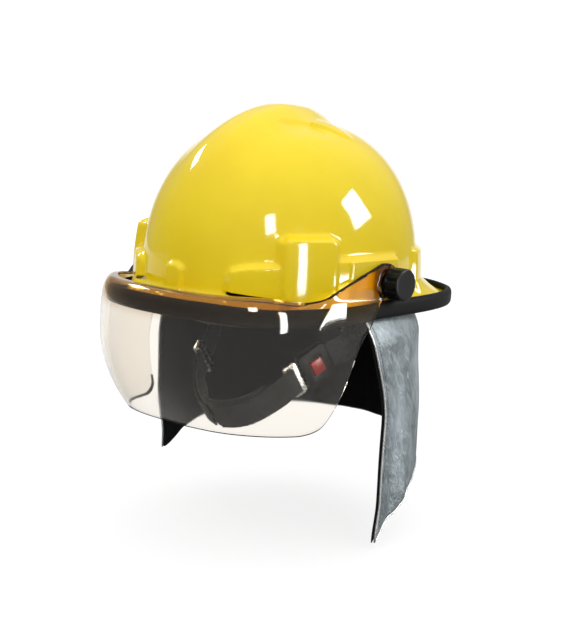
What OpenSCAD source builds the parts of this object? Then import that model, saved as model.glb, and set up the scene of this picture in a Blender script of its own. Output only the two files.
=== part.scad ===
// Structural fire helmet: a moulded shell with a crown ridge and hollow side bosses, a rubber
// brim trim, a hinged one-piece face visor, an energy liner with a strap cradle, a headband
// with a rack-and-pinion nape ratchet, a chin strap and an aluminised neck curtain.
// Millimetres. +X is the wearer's left, -Y the front, +Z up. The origin is the centre of the
// head opening, level with the foot of the dome. Polar angles run from the front towards +X.

/* [Shell] */
// Front half-length of the dome
dome_front = 141; // [138:1:144]
// Rear half-length of the dome
dome_rear = 137; // [134:1:140]
// Half-width of the dome
dome_side = 115.5; // [114:0.5:117]
// Height of the dome, without its ridge
dome_h = 151; // [148:1:154]
// Wall of the moulded shell
shell_wall = 3; // [2.6:0.1:3.4]
// Height of the crown ridge
ridge_h = 13; // [10:0.5:14]
// Half-width of the crown ridge
ridge_half_w = 44.5; // [38:0.5:50]
// How far each side boss stands out of the dome
boss_depth = 11; // [9:0.5:12]
// Height of each side boss
boss_h = 50; // [44:1:54]
// How far the low wings beside a boss stand out
wing_depth = 7; // [5:0.5:8]
// How far each visor seat's flat face stands out of the dome
seat_out_x = 4.5; // [4:0.25:5]

/* [Brim and trim] */
// How far the brim with its trim reaches past the dome at the front
brim_out_front = 29; // [27:1:33]
// How far it reaches past the dome at the back
brim_out_rear = 34; // [30:1:36]
// How far it reaches past the dome at the sides
brim_out_side = 12.5; // [12:0.25:13.5]
// How far the brim edge drops below the foot of the dome
brim_drop = 12; // [12:0.5:14]
// Height of the rubber trim
trim_h = 15.5; // [14:0.5:15.5]
// Width of the rubber trim
trim_w = 6; // [5:0.5:7]

/* [Visor] */
// Sheet thickness of the visor
visor_t = 2.5; // [2:0.25:3]
// Gap between the trim and the inside of the visor
visor_gap = 2.5; // [2:0.25:4]
// Height of the visor's lower edge at the front, below the dome foot
visor_low = 116; // [106:1:122]
// Width of the shelf that the visor's top makes over the front brim
shelf_w = 15; // [13:0.5:16]
// Place of the pivot axis behind the middle
pivot_y = 6.5; // [4:0.5:9]
// Height of the pivot axis
pivot_z = 9.5; // [9.5:0.5:11]
// Radius of the foot of the visor's ear round the pivot
ear_r = 13; // [12.5:0.25:13.25]

/* [Visor knobs] */
// Diameter of a clamping knob
knob_d = 29; // [24:1:29]
// Depth of a clamping knob
knob_depth = 15; // [12:1:18]
// Grip flutes round a knob
knob_flutes = 8; // [6:1:12]
// Diameter of a pivot bolt
bolt_d = 6; // [5:0.5:7]
// Thickness of each washer on a pivot
washer_t = 1.2; // [0.8:0.1:1.5]
// Diameter of each washer
washer_d = 23; // [20:1:24]

/* [Liner and cradle] */
// Thickness of the energy-absorbing liner
liner_t = 17; // [14:1:18]
// Height of the liner's rim
liner_rim = 16; // [15:1:20]
// Gap between the shell and the liner
liner_gap = 0.8; // [0.6:0.1:1.2]
// Width of a cradle strap
cradle_w = 20; // [16:1:24]
// Thickness of a cradle strap
cradle_t = 1.5; // [1.2:0.1:1.8]
// Height of the cradle's crown inside
cradle_h = 116; // [110:1:120]
// Diameter of the crown pad
crown_pad_d = 84; // [70:2:90]
// Thickness of the crown pad
crown_pad_t = 6; // [4:0.5:7]

/* [Headband] */
// Half-width of the headband, which is its radius at the nape
band_r = 80; // [76:1:82]
// Centre of the headband's round nape end behind the middle
band_y = 18; // [16:1:20]
// Half-length of the headband's front, from that centre
band_front = 118; // [115:1:120]
// Height of the headband
band_h = 30; // [26:1:32]
// Height of the headband's middle
band_z = -20; // [-22:1:-18]
// Thickness of the headband
band_t = 2; // [1.6:0.1:2.4]
// Thickness of the brow pad
brow_t = 5; // [4:0.5:6]

/* [Nape ratchet] */
// Module of the pinion and racks
gear_module = 1.25; // [1.2:0.05:1.3]
// Teeth on the pinion
pinion_teeth = 12; // [12:1:14]
// Diameter of the ratchet knob
ratchet_knob_d = 34; // [30:1:38]
// Depth of the ratchet knob
ratchet_knob_depth = 11; // [9:1:13]
// Half-angle of the ratchet housing round the nape
housing_half = 34; // [32:1:36]

/* [Chin strap] */
// Width of the chin-strap webbing
chin_w = 25; // [22:1:28]
// Thickness of the webbing
chin_t = 2; // [1.6:0.1:2.4]
// Height of the chin pad
chin_pad_h = 36; // [32:1:40]
// Thickness of the chin pad
chin_pad_t = 5; // [4:0.5:6]

/* [Neck curtain] */
// Thickness of the aluminised cloth
curtain_t = 1.6; // [1.2:0.1:2]
// Thickness of the lining
lining_t = 1.2; // [1:0.1:1.5]
// How far the curtain flares out below the brim
curtain_flare = 9; // [7:0.5:10]
// Depth of the curtain's hanging folds
fold_depth = 2.5; // [1.5:0.25:3.5]
// Lowest point of the hem at the wearer's left front corner
hem_left = -232; // [-240:1:-220]
// Hem height at the back of the neck
hem_back = -150; // [-160:1:-140]
// Lowest point of the hem at the wearer's right front corner
hem_right = -187; // [-195:1:-180]

/* [Hidden] */

// Shape exponents of the dome's side profile, of its plan and of the brim's plan
dome_n = 2.35;
dome_m = 2.18;
brim_m = 2.6;
brim_rear_m = 3.1;

// Half-lengths and half-width of the brim with its trim, and the flat face of a visor seat
brim_front = dome_front + brim_out_front;
brim_rear = dome_rear + brim_out_rear;
brim_side = dome_side + brim_out_side;
seat_x = dome_side + seat_out_x;

// Running clearance of a shaft in its hole, and gap between parts that only touch
run = 0.05;
touch = 0.3;
tiny = 0.01;

function step01(x) = let(t = min(1, max(0, x))) t * t * (3 - 2 * t);
function rise(x, a, b) = step01((x - a) / (b - a));
function bump(x, a, b, soft) = rise(x, a - soft, a) * (1 - rise(x, b, b + soft));
function mix(a, b, t) = a + (b - a) * t;
function fold_angle(a) = abs(((a + 540) % 360) - 180);

// Radius of a superellipse plan with its own front and rear half-lengths
function plan(a, front, rear, side, m) =
  let(long = cos(a) > 0 ? front : rear)
  1 / pow(pow(abs(sin(a)) / side, m) + pow(abs(cos(a)) / long, m), 1 / m);
function polar(a, r, z) = [r * sin(a), -r * cos(a), z];

// Boss angles: the tall block, its wings, the visor seat and the rear boss
block_a = [43.5, 60.5];
block_soft = 5.2;
wing_a = [25, 70];
seat_a = [74, 99.3];
rear_boss_a = [122, 146];
front_boss_a = 3.6;
front_boss_h = 22;
front_boss_depth = 4;
rear_boss_h = 36;
rear_boss_depth = 5;

// How far the shell's side stands out of the plain dome at an angle and height
// The block's and the front boss's upper corners are rounded
function block_top(a) = boss_h - 5 * (1 - bump(a, block_a[0] + 3.5, block_a[1] - 3.5, 4.5));
function block_out(a, z) = boss_depth * bump(a, block_a[0], block_a[1], block_soft)
  * (1 - rise(z, block_top(a) - 3, block_top(a) + 4));
function wing_top(a) = boss_h * (a < 52 ? mix(0.43, 0.535, rise(a, 22, 40)) : 0.64);
function wing_out(a, z) = wing_depth * bump(a, wing_a[0], wing_a[1], 5)
  * (1 - rise(z, wing_top(a) - 3, wing_top(a) + 3));
function seat_out(a, z, r) =
  let(w = bump(a, seat_a[0], seat_a[1], 4.7) * (1 - rise(z, boss_h * 0.64 - 3, boss_h * 0.64 + 4)))
  w * (seat_x / max(0.5, sin(a)) - r);
function rear_out(a, z) = rear_boss_depth * bump(a, rear_boss_a[0], rear_boss_a[1], 3)
  * (1 - rise(z, rear_boss_h - 3, rear_boss_h + 2));
function front_top(a) = front_boss_h - 2.5 * rise(a, front_boss_a / 2, front_boss_a + 0.4);
function front_out(a, z) = front_boss_depth * (1 - rise(a, front_boss_a, front_boss_a + 1.6))
  * (1 - rise(z, front_top(a) - 3, front_top(a) + 2));
function side_out(a, z, r) =
  let(f = fold_angle(a))
  max(block_out(f, z), wing_out(f, z), seat_out(f, z, r), rear_out(f, z), front_out(f, z));
// Inside, the hollow bosses keep a rib at each suspension key
function key_rib(f) = max(1 - rise(f, 5.2, 6), bump(f, 49, 56.5, 5), bump(f, 124, 132, 2));

// The ridge rises from the forehead to the crown, then steps down to a low tail
ridge_line = [[-80, 0], [-55, 0.19], [-28, 0.57], [-8, 1], [6, 0.9], [14, 0.67], [20, 0.15], [36, 0.1], [70, 0]];
function ridge_out(p) =
  let(
    along = atan2(p[1], max(1, p[2])),
    half = ridge_half_w * mix(1, 0.48, rise(along, -10, 20)),
    across = 1 - rise(abs(p[0]), half * mix(0.13, 0.03, rise(along, -20, 20)), half)
  )
  ridge_h * across * lookup(along, ridge_line);

// A point of the dome: angle, profile parameter 0 to 90, inset from the outer face
function dome_point(a, t, inset) =
  let(
    r0 = plan(a, dome_front - inset, dome_rear - inset, dome_side - inset, dome_m),
    r1 = r0 * pow(cos(t), 2 / dome_n),
    z = (dome_h - inset) * pow(sin(t), 2 / dome_n),
    p = polar(a, r1, z),
    up = ridge_out(p),
    d = [p[0], p[1], p[2] * 1.2] / norm([p[0], p[1], p[2] * 1.2])
  )
  p + d * up;
function wall_point(a, z, inset) =
  let(
    r0 = plan(a, dome_front - inset, dome_rear - inset, dome_side - inset, dome_m),
    r1 = r0 * pow(1 - pow(max(0, z) / (dome_h - inset), dome_n), 1 / dome_n),
    out = side_out(a, z + inset * 0.6, r1 + inset) * (inset > 0 ? 1 - key_rib(fold_angle(a)) : 1)
  )
  polar(a, r1 + max(0, out), z);

// Angles of the columns: close together where a boss wall stands
half_cols = [
  0, 2.8, 5.2, 10, 17, 22.5, 27, 33, 38.3, 41, 43.5, 50, 55.5, 60.5, 63, 65.7, 70, 74, 82, 90, 98,
  99.3, 104, 110, 119, 122, 124, 132, 135, 140, 146, 149, 156, 164, 172
];
cols = concat(half_cols, [180], [for (i = [len(half_cols) - 1:-1:1]) 360 - half_cols[i]]);

wing_h = boss_h * 0.64;
wall_rows = [
  boss_h + 4, boss_h, boss_h - 4, wing_h + 4, wing_h, wing_h - 4, boss_h * 0.48, boss_h * 0.4,
  boss_h * 0.26
];
inner_rows = [2, boss_h * 0.3, wing_h - 4, wing_h + 2, boss_h - 4, boss_h + 2];
crown_rows = [84, 78, 70.5, 61, 51, 41, 32, 25];
inner_crown_rows = [78, 70.5, 61, 46, 30];

// The brim and its foot dip at the temples, and the foot stays low under the visor seats
function brim_r(a, inset) =
  plan(a, brim_front - inset, brim_rear - inset, brim_side - inset, cos(a) > 0 ? brim_m : brim_rear_m);
function brim_z(a) =
  let(f = fold_angle(a))
  -brim_drop - 3.5 * bump(f, 42, 64, 26) - 1.2 * bump(f, 84, 150, 20);
function foot_z(a) = 3 - 8 * bump(fold_angle(a), 50, 104, 22);
// From the foot the brim flares as a quarter ellipse to a flat lip that the trim grips
function brim_point(a, t, under) =
  let(
    foot = norm([for (k = [0, 1]) wall_point(a, 0, 0)[k]]),
    r = mix(foot, brim_r(a, trim_w + 0.6), 1 - cos(t)) - under * shell_wall * cos(t),
    z = mix(foot_z(a), brim_z(a) + shell_wall / 2, sin(t)) - under * shell_wall * sin(t)
  )
  polar(a, r, z);
function brim_edge(a, under) =
  polar(a, brim_r(a, trim_w - 4), brim_z(a) + (0.5 - under) * shell_wall);

shell_rings = concat(
  [for (t = crown_rows) [for (a = cols) dome_point(a, t, 0)]],
  [for (z = wall_rows) [for (a = cols) wall_point(a, z, 0)]],
  [for (t = [0, 30, 52, 72, 90]) [for (a = cols) brim_point(a, t, 0)]],
  [for (under = [0, 1]) [for (a = cols) brim_edge(a, under)]],
  [for (t = [90, 45]) [for (a = cols) brim_point(a, t, 1)]],
  [for (z = inner_rows) [for (a = cols) wall_point(a, z, shell_wall)]],
  [for (i = [len(inner_crown_rows) - 1:-1:0]) [for (a = cols) dome_point(a, inner_crown_rows[i], shell_wall)]]
);

// A closed skin of rings between an outer and an inner pole
module bell(rings) {
  n = len(rings);
  m = len(rings[0]);
  top = [0, 0, rings[0][0][2] * 0.5 + rings[0][floor(m / 2)][2] * 0.5 + 0.6];
  low = [0, 0, rings[n - 1][0][2] * 0.5 + rings[n - 1][floor(m / 2)][2] * 0.5 + 0.6];
  points = concat([for (r = rings) each r], [top, low]);
  sides = [
    for (i = [0:n - 2]) for (j = [0:m - 1]) let(k = (j + 1) % m)
      each [[i * m + j, i * m + k, i * m + m + k], [i * m + j, i * m + m + k, i * m + m + j]]
  ];
  caps = [for (j = [0:m - 1]) let(k = (j + 1) % m) each [
    [n * m, k, j], [n * m + 1, (n - 1) * m + j, (n - 1) * m + k]
  ]];
  polyhedron(points, concat(sides, caps), convexity = 10);
}

// Sections joined in order: a closed hoop, or an open band whose ends are paired across
module sweep(sections, closed = false) {
  n = len(sections);
  m = len(sections[0]);
  last = closed ? n - 1 : n - 2;
  sides = [
    for (i = [0:last]) for (j = [0:m - 1]) let(h = (i + 1) % n, k = (j + 1) % m)
      each [[i * m + j, h * m + j, h * m + k], [i * m + j, h * m + k, i * m + k]]
  ];
  ends = closed ? [] : [
    for (a = [0:floor(m / 2) - 2]) let(b = m - 1 - a, e = (n - 1) * m)
      each [[a, a + 1, b - 1], [a, b - 1, b], [e + a, e + b - 1, e + a + 1], [e + a, e + b, e + b - 1]]
  ];
  polyhedron([for (s = sections) each s], concat(sides, ends), convexity = 10);
}

// Shell with its pivot holes and the accessory slot under each side boss
slot_h = 3;
slot_len = 70;
slot_a = 33.87;
slot_mid = polar(slot_a, plan(slot_a, dome_front, dome_rear, dome_side, dome_m) + 2.42, -1);
slot_turn = slot_a + 6.83;
slot_dip = 5.2;

module shell() {
  color("gold") difference() {
    bell(shell_rings);
    for (s = [-1, 1]) {
      translate([s * seat_x, pivot_y, pivot_z]) rotate([0, 90, 0])
        cylinder(h = 30, r = bolt_d / 2 + run, center = true, $fn = 48);
      translate([s * slot_mid[0], slot_mid[1], slot_mid[2]]) rotate([0, s * slot_dip, s * slot_turn])
        cube([slot_len, 11, slot_h], center = true);
    }
  }
}

// Rubber channel that grips the brim's edge
module edge_trim() {
  lip = trim_w - 4;
  half = trim_h / 2;
  open = shell_wall / 2 + 0.15;
  color("dimgray") sweep([for (a = cols) let(z = brim_z(a)) [
    polar(a, brim_r(a, trim_w - 1), z + half), polar(a, brim_r(a, 1.4), z + half),
    polar(a, brim_r(a, 0), z + half - 2.6), polar(a, brim_r(a, 0), z - half + 2.6),
    polar(a, brim_r(a, 1.4), z - half), polar(a, brim_r(a, trim_w - 1), z - half),
    polar(a, brim_r(a, trim_w), z - half + 1), polar(a, brim_r(a, trim_w), z - open - 0.6),
    polar(a, brim_r(a, lip - 0.15), z - open), polar(a, brim_r(a, lip - 0.15), z + open),
    polar(a, brim_r(a, trim_w), z + open + 0.6), polar(a, brim_r(a, trim_w), z + half - 1)
  ]], closed = true);
}

// Visor: a shelf over the front brim, a bubble wall, and a flat ear at each pivot
ear_x = seat_x + washer_t + run;
visor_cols = concat([for (i = [0:10]) i * 5.2], [55, 58, 60.5, 63, 65.4, 67.8, 70.6, 73.5, 76.3,
  78.8, 81.3, 84, 87, 90, 93, 95.5, 97.4, 98.6]);
function visor_wall(a, z, out) =
  let(r = brim_r(a, -visor_gap - out), fall = max(0, -z - 45))
  r - 0.0052 * fall * fall * mix(1, 0.5, rise(a, 40, 90));
// Heights of the top edge, and heights of the foot above the lowest edge, against the angle
visor_top = [[0, 2.5], [36, 2], [44, -0.5], [50, -2.5], [54, 0], [58, 4], [62, 8], [66, 11.5],
  [70, 15], [74, 18.3], [78, 21.2]];
visor_foot = [[0, 0], [16, -0.5], [33, -3], [43, -5], [51, -6], [55, -4.5], [58, -2], [60.5, 2],
  [63, 15], [65.4, 30], [67.8, 51], [70.6, 72], [73.5, 82], [76.3, 89], [78.8, 98.5], [81.3, 107.5]];
// Heights of the ear's humped top above the pivot axis. Its foot is round about the axis
ear_top = [[78, 11.7], [81, 13.7], [84, 16], [87, 18], [90, 18.2], [93, 16.4], [95.5, 13.4], [97.4, 10.3], [98.6, 7]];
function ear_foot(f) =
  let(dy = ear_x * tan(f - 90) - pivot_y)
  pivot_z - sqrt(max(6, ear_r * ear_r - dy * dy));
function visor_top_z(f) = f <= 78 ? lookup(f, visor_top) : pivot_z + lookup(f, ear_top);
function visor_foot_z(f) =
  f <= 81.3 ? lookup(f, visor_foot) - visor_low : (f < 90 ? -3.3 : ear_foot(f));
// Beside the shell the visor is flat down to its flare, which carries it out past the trim
flare_top = 8;
shoulder = -16;
function visor_side(f, z, out) =
  let(flat = (ear_x + out) / max(0.6, sin(f)))
  mix(flat, visor_wall(f, z, out), (1 - rise(f, 82, 87)) * rise(flare_top - z, 0, 10.5));
function visor_section(a, out) =
  let(
    f = abs(a),
    top = visor_top_z(f),
    foot = visor_foot_z(f),
    side = rise(f, 47, 60),
    knee = mix(shoulder, max(-4, foot + 0.3 * (top - foot)), side),
    r_out = visor_wall(f, shoulder, out),
    r_shelf = visor_wall(f, shoulder, visor_t) - shelf_w
  )
  [
    for (t = [0, 24, 48, 70, 90])
      let(
        z = mix(mix(shoulder, top - visor_t + out, pow(cos(t), 0.85)), mix(top, knee, t / 90), side),
        r = mix(mix(r_shelf, r_out, pow(sin(t), 0.85)), visor_side(f, z, out), side)
      )
      polar(a, r, z),
    for (v = [0.2, 0.4, 0.6, 0.8, 1])
      let(z = mix(knee, foot, v))
      polar(a, mix(visor_wall(f, z, out), visor_side(f, z, out), side), z)
  ];
visor_all = concat([for (i = [len(visor_cols) - 1:-1:1]) -visor_cols[i]], visor_cols);

module visor() {
  color([0.35, 0.28, 0.12, 0.6]) difference() {
    sweep([for (a = visor_all) let(o = visor_section(a, visor_t), n = visor_section(a, 0))
      concat(o, [for (i = [len(n) - 1:-1:0]) n[i]])]);
    for (s = [-1, 1]) translate([s * ear_x, pivot_y, pivot_z]) rotate([0, 90, 0])
      cylinder(h = 20, r = bolt_d / 2 + run, center = true, $fn = 48);
  }
}

// Things on the pivot axis are drawn for the left side, outward along +Z, and then placed
module on_pivot(s) {
  translate([0, pivot_y, pivot_z]) rotate([0, s * 90, 0]) children();
}
knob_foot = ear_x + visor_t + washer_t + 2 * run;
bolt_inner = seat_x - shell_wall - 0.6;
module washer(x) {
  translate([0, 0, x]) difference() {
    cylinder(h = washer_t, d = washer_d, $fn = 48);
    translate([0, 0, -1]) cylinder(h = washer_t + 2, r = bolt_d / 2 + run, $fn = 48);
  }
}
module visor_knob(s) {
  chamfer = 1.2;
  flute_r = 4;
  color([0.1, 0.1, 0.1]) on_pivot(s) translate([0, 0, knob_foot]) difference() {
    rotate_extrude($fn = 72) polygon([
      [0, 0], [knob_d / 2 - 1, 0], [knob_d / 2, 1], [knob_d / 2, knob_depth - chamfer],
      [knob_d / 2 - chamfer, knob_depth], [0, knob_depth]
    ]);
    for (i = [0:knob_flutes - 1]) rotate(i * 360 / knob_flutes)
      translate([knob_d / 2 + flute_r * 0.64, 0, 1.6]) cylinder(h = knob_depth, r = flute_r, $fn = 24);
    translate([0, 0, -1]) cylinder(h = knob_depth - 4, r = bolt_d / 2 + run, $fn = 48);
  }
}
module pivot_bolt(s) {
  head_r = bolt_d * 1.4;
  head_t = 2.6;
  color("silver") on_pivot(s) rotate_extrude($fn = 48) polygon([
    [0, bolt_inner - head_t], [head_r - 1.2, bolt_inner - head_t], [head_r, bolt_inner - 0.8],
    [head_r, bolt_inner], [bolt_d / 2, bolt_inner], [bolt_d / 2, knob_foot + knob_depth - 6],
    [bolt_d / 2 - 0.6, knob_foot + knob_depth - 5.4], [0, knob_foot + knob_depth - 5.4]
  ]);
}
module friction_washers() {
  color("black") for (s = [-1, 1]) on_pivot(s) washer(seat_x);
}
module knob_washers() {
  color("silver") for (s = [-1, 1]) on_pivot(s) washer(ear_x + visor_t + run);
}

// Foam liner that follows the inside of the dome
liner_cols = [for (i = [0:35]) i * 10];
liner_rows = inner_crown_rows;
function liner_ring(t, inset) = [for (a = liner_cols) let(
    r0 = plan(a, dome_front - inset, dome_rear - inset, dome_side - inset, dome_m))
  polar(a, r0 * pow(cos(t), 2 / dome_n), (dome_h - inset) * pow(sin(t), 2 / dome_n))];
function liner_edge(z, inset) = [for (a = liner_cols) let(
    r0 = plan(a, dome_front - inset, dome_rear - inset, dome_side - inset, dome_m))
  polar(a, r0 * pow(1 - pow(z / (dome_h - inset), dome_n), 1 / dome_n), z)];
module impact_liner() {
  skin = shell_wall + liner_gap;
  color("darkslategray") bell(concat(
    [for (t = liner_rows) liner_ring(t, skin)],
    [for (z = [boss_h - 4, wing_h - 4, liner_rim + 4]) liner_edge(z, skin)],
    [liner_edge(liner_rim, skin + 3), liner_edge(liner_rim, skin + liner_t - 3)],
    [for (z = [liner_rim + 4, wing_h - 4, boss_h - 4]) liner_edge(z, skin + liner_t)],
    [for (i = [len(liner_rows) - 1:-1:0]) liner_ring(liner_rows[i], skin + liner_t)]
  ));
}

// Headband plan: a round nape and a longer front, about the point (0, band_y)
function band_plan(a, out) = plan(a, band_front + out, band_r + out, band_r + out, 2);
function on_band(a, out, z) = polar(a, band_plan(a, out), z) + [0, band_y, 0];
// A band of rectangular section that follows the headband
function band_section(a, r_in, r_out, z_low, z_high) = [
  on_band(a, r_out, z_high), on_band(a, r_out, z_low), on_band(a, r_in, z_low), on_band(a, r_in, z_high)
];
module headband() {
  gap_a = 180 - housing_half - 2;
  color("black") sweep([for (i = [-24:24]) let(a = i * gap_a / 24)
    band_section(a, 0, band_t, band_z - band_h / 2, band_z + band_h / 2)]);
}
module brow_pad() {
  half = 62;
  back = -touch - 0.3;
  color([0.15, 0.13, 0.12]) sweep([for (i = [-14:14]) let(
      a = i * half / 14,
      e = 1 - pow(abs(i) / 14, 6) * 0.6,
      h = (band_h / 2 + 1) * (1 - pow(abs(i) / 14, 8) * 0.15),
      t = brow_t * e)
    [
      on_band(a, back, band_z + h * 0.92), on_band(a, back, band_z), on_band(a, back, band_z - h * 0.92),
      on_band(a, back - t * 0.6, band_z - h), on_band(a, back - t, band_z - h * 0.55),
      on_band(a, back - t, band_z + h * 0.55), on_band(a, back - t * 0.6, band_z + h),
      on_band(a, back - 0.1, band_z + h)
    ]]);
}
module nape_pad() {
  half = housing_half - 4;
  r_in = -front_plate_t - touch;
  color([0.15, 0.13, 0.12]) sweep([for (i = [-10:10]) let(
      a = 180 + i * half / 10,
      e = 1 - pow(abs(i) / 10, 6) * 0.6,
      h = band_h / 2,
      t = brow_t * e)
    [
      on_band(a, r_in, band_z + h * 0.9), on_band(a, r_in, band_z), on_band(a, r_in, band_z - h * 0.9),
      on_band(a, r_in - t * 0.6, band_z - h), on_band(a, r_in - t, band_z - h * 0.5),
      on_band(a, r_in - t, band_z + h * 0.5), on_band(a, r_in - t * 0.6, band_z + h),
      on_band(a, r_in - 0.1, band_z + h)
    ]]);
}

// Cradle straps: each runs from one side of the headband over the crown to the other
cradle_ends = [[0, 180], [52, 232], [128, 308]];
cradle_foot = band_z + band_h / 2 - 6;
// The rear end of the middle strap stays above the ratchet
function strap_foot(a) = a == 180 ? band_z + house_half_h + 8.4 : cradle_foot;
// Distance of the headband's outside from the middle, plus a gap
function band_from_middle(a, out) =
  let(
    side = band_r + out,
    long = cos(a) * (band_r) > -band_y ? band_front + out : band_r + out,
    qa = pow(sin(a) / side, 2) + pow(cos(a) / long, 2),
    qb = 2 * band_y * cos(a) / (long * long),
    qc = band_y * band_y / (long * long) - 1
  )
  (-qb + sqrt(qb * qb - 4 * qa * qc)) / (2 * qa);
cradle_out = band_t + touch + cradle_t / 2 + 5.8;
function cradle_axis(a, t, lift) =
  polar(a, band_from_middle(a, cradle_out) * pow(cos(t), 2 / 2.3),
    mix(strap_foot(a), cradle_h + lift, pow(sin(t), 2 / 2.3)));
module cradle_strap(k) {
  lift = k * (cradle_t + 1.1);
  a = cradle_ends[k][0];
  path = concat([for (i = [0:8]) cradle_axis(a, i * 10.6, lift)], [[0, 0, cradle_h + lift]],
    [for (i = [8:-1:0]) cradle_axis(a + 180, i * 10.6, lift)]);
  side = [cos(a), sin(a), 0] * cradle_w / 2;
  color("black") sweep([for (i = [0:len(path) - 1])
    let(
      d = path[min(i + 1, len(path) - 1)] - path[max(i - 1, 0)],
      n = cross(side, d) / norm(cross(side, d)) * cradle_t / 2
    )
    [path[i] - side + n, path[i] + side + n, path[i] + side - n, path[i] - side - n]]);
}
function pad_top(r) =
  let(t = acos(pow(r / band_from_middle(128, cradle_out), 1.15)))
  mix(cradle_foot, cradle_h, pow(sin(t), 2 / 2.3)) - cradle_t / 2 - 0.9;
module crown_pad() {
  radii = [for (i = [0:5]) i * (crown_pad_d / 2 - 2) / 5];
  edge = pad_top(crown_pad_d / 2) - crown_pad_t / 2;
  color([0.15, 0.13, 0.12]) rotate_extrude($fn = 48) polygon(concat(
    [for (r = radii) [r, pad_top(r)]],
    [[crown_pad_d / 2 - 0.4, edge + crown_pad_t * 0.22], [crown_pad_d / 2 - 0.4, edge - crown_pad_t * 0.22]],
    [for (i = [5:-1:0]) [radii[i], pad_top(radii[i]) - crown_pad_t]]
  ));
}

// Plastic keys: each ties a strap end and the headband to the rim inside the shell
key_w = 18;
key_foot_w = 8;
key_arm_t = 4.5;
key_ledge = 3.5;
key_reach = 9;
module radial_plate(a, w, outline) {
  rotate(a - 90) rotate([90, 0, 0]) translate([0, 0, -w / 2]) linear_extrude(w) polygon(outline);
}
module suspension_key(a) {
  shell_r = plan(a, dome_front - shell_wall, dome_rear - shell_wall, dome_side - shell_wall, dome_m) - 1.2;
  in_r = band_from_middle(a, cradle_out) + cradle_t / 2 + touch;
  lip = band_from_middle(a, (cos(a) < 0 ? tail_in + tail_t : band_t) + touch + 2.1);
  z0 = strap_foot(a) - 8;
  low = min(z0 + 14, key_ledge);
  high = max(z0 + 14 + key_arm_t, key_ledge + key_arm_t);
  radial_plate(a, key_w, [
    [lip, z0], [in_r + 3, z0], [in_r + key_arm_t, low], [shell_r - key_reach, key_ledge],
    [shell_r - key_reach, key_ledge + key_arm_t], [in_r + 3.5, high], [in_r, high], [in_r, z0 + 4],
    [lip, z0 + 4]
  ]);
  radial_plate(a, key_foot_w, [
    [shell_r - key_reach - 1, key_ledge], [shell_r, key_ledge], [shell_r, liner_rim - 2],
    [shell_r - 4, liner_rim - 2], [shell_r - key_reach - 1, key_ledge + key_arm_t]
  ]);
}
module suspension_keys() {
  color("dimgray") for (e = cradle_ends) for (a = e) suspension_key(a);
}

// Nape ratchet: two racks on a common arc, one above and one below the pinion
pitch_r = gear_module * pinion_teeth / 2;
front_plate_t = 2.2;
tail_in = band_t + touch;
tail_t = 2;
rack_pitch = PI * gear_module;
tail_arc_r = band_r + tail_in + tail_t / 2;
rack_step = rack_pitch / tail_arc_r * 180 / PI;
tail_edge = pitch_r + gear_module * 1.25;
tail_h = 6;
house_half_h = tail_edge + tail_h + 2.6;

// Involute flank, as points from the base circle to the tip
function involute(rb, r) = let(u = sqrt(max(0, r * r / (rb * rb) - 1))) u * 180 / PI - atan(u);
function pinion_outline() =
  let(
    rb = pitch_r * cos(20),
    tip = pitch_r + gear_module * 0.8,
    root = pitch_r - gear_module * 1.0,
    half = 90 / pinion_teeth - 1.0 + involute(rb, pitch_r)
  )
  [for (i = [0:pinion_teeth - 1]) let(c = i * 360 / pinion_teeth) each concat(
    [[root * cos(c - half - 3), root * sin(c - half - 3)]],
    [for (k = [0:3]) let(r = mix(rb, tip, k / 3), b = half - involute(rb, r)) [r * cos(c - b), r * sin(c - b)]],
    [for (k = [3:-1:0]) let(r = mix(rb, tip, k / 3), b = half - involute(rb, r)) [r * cos(c + b), r * sin(c + b)]],
    [[root * cos(c + half + 3), root * sin(c + half + 3)]]
  )];
module rack_tooth(a) {
  base = rack_pitch / 2 - 0.35 + 2 * gear_module * tan(20);
  tip = rack_pitch / 2 - 0.35 - 2 * gear_module * 0.7 * tan(20);
  rotate(a) translate([0, band_r + tail_in + 0.02, 0]) rotate([90, 0, 180])
    linear_extrude(tail_t - 0.04) polygon([
      [-base / 2, tail_edge + 0.2], [base / 2, tail_edge + 0.2],
      [tip / 2, pitch_r - gear_module * 0.7], [-tip / 2, pitch_r - gear_module * 0.7]
    ]);
}
// s = 1 is the wearer's left tail with its rack above the pinion
module nape_band(s) {
  teeth = 9;
  lap = 60;
  end = 14;
  color([0.2, 0.2, 0.2]) translate([0, band_y, band_z]) mirror([s > 0 ? 0 : 1, 0, 0])
    mirror([0, 0, s > 0 ? 0 : 1]) {
      rotate(90 - lap) rotate_extrude(angle = lap + end, $fn = 180)
        translate([band_r + tail_in, tail_edge]) square([tail_t, tail_h]);
      for (i = [0:teeth - 1]) rack_tooth((i - (teeth - 1) / 2) * rack_step);
      rotate(90 - lap) rotate_extrude(angle = lap - housing_half - 14, $fn = 180)
        translate([band_r + tail_in, -band_h / 2 + 3]) square([tail_t, band_h / 2 + tail_edge]);
    }
}
module arc_wall(r_in, t, half, z_low, z_high) {
  translate([0, band_y, band_z]) rotate(90 - half) rotate_extrude(angle = 2 * half, $fn = 180)
    translate([band_r + r_in, z_low]) square([t, z_high - z_low]);
}
module ratchet_housing() {
  color([0.12, 0.12, 0.12]) union() {
    arc_wall(-front_plate_t, front_plate_t + band_t, housing_half, -house_half_h, house_half_h);
    for (s = [-1, 1]) {
      z = s * (house_half_h - 1.15);
      arc_wall(-front_plate_t, front_plate_t + tail_in + tail_t + touch, housing_half,
        z - 1.15, z + 1.15);
    }
  }
}
cover_in = tail_in + tail_t + touch;
cover_t = 2.4;
hub_r = 9.5;
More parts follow.
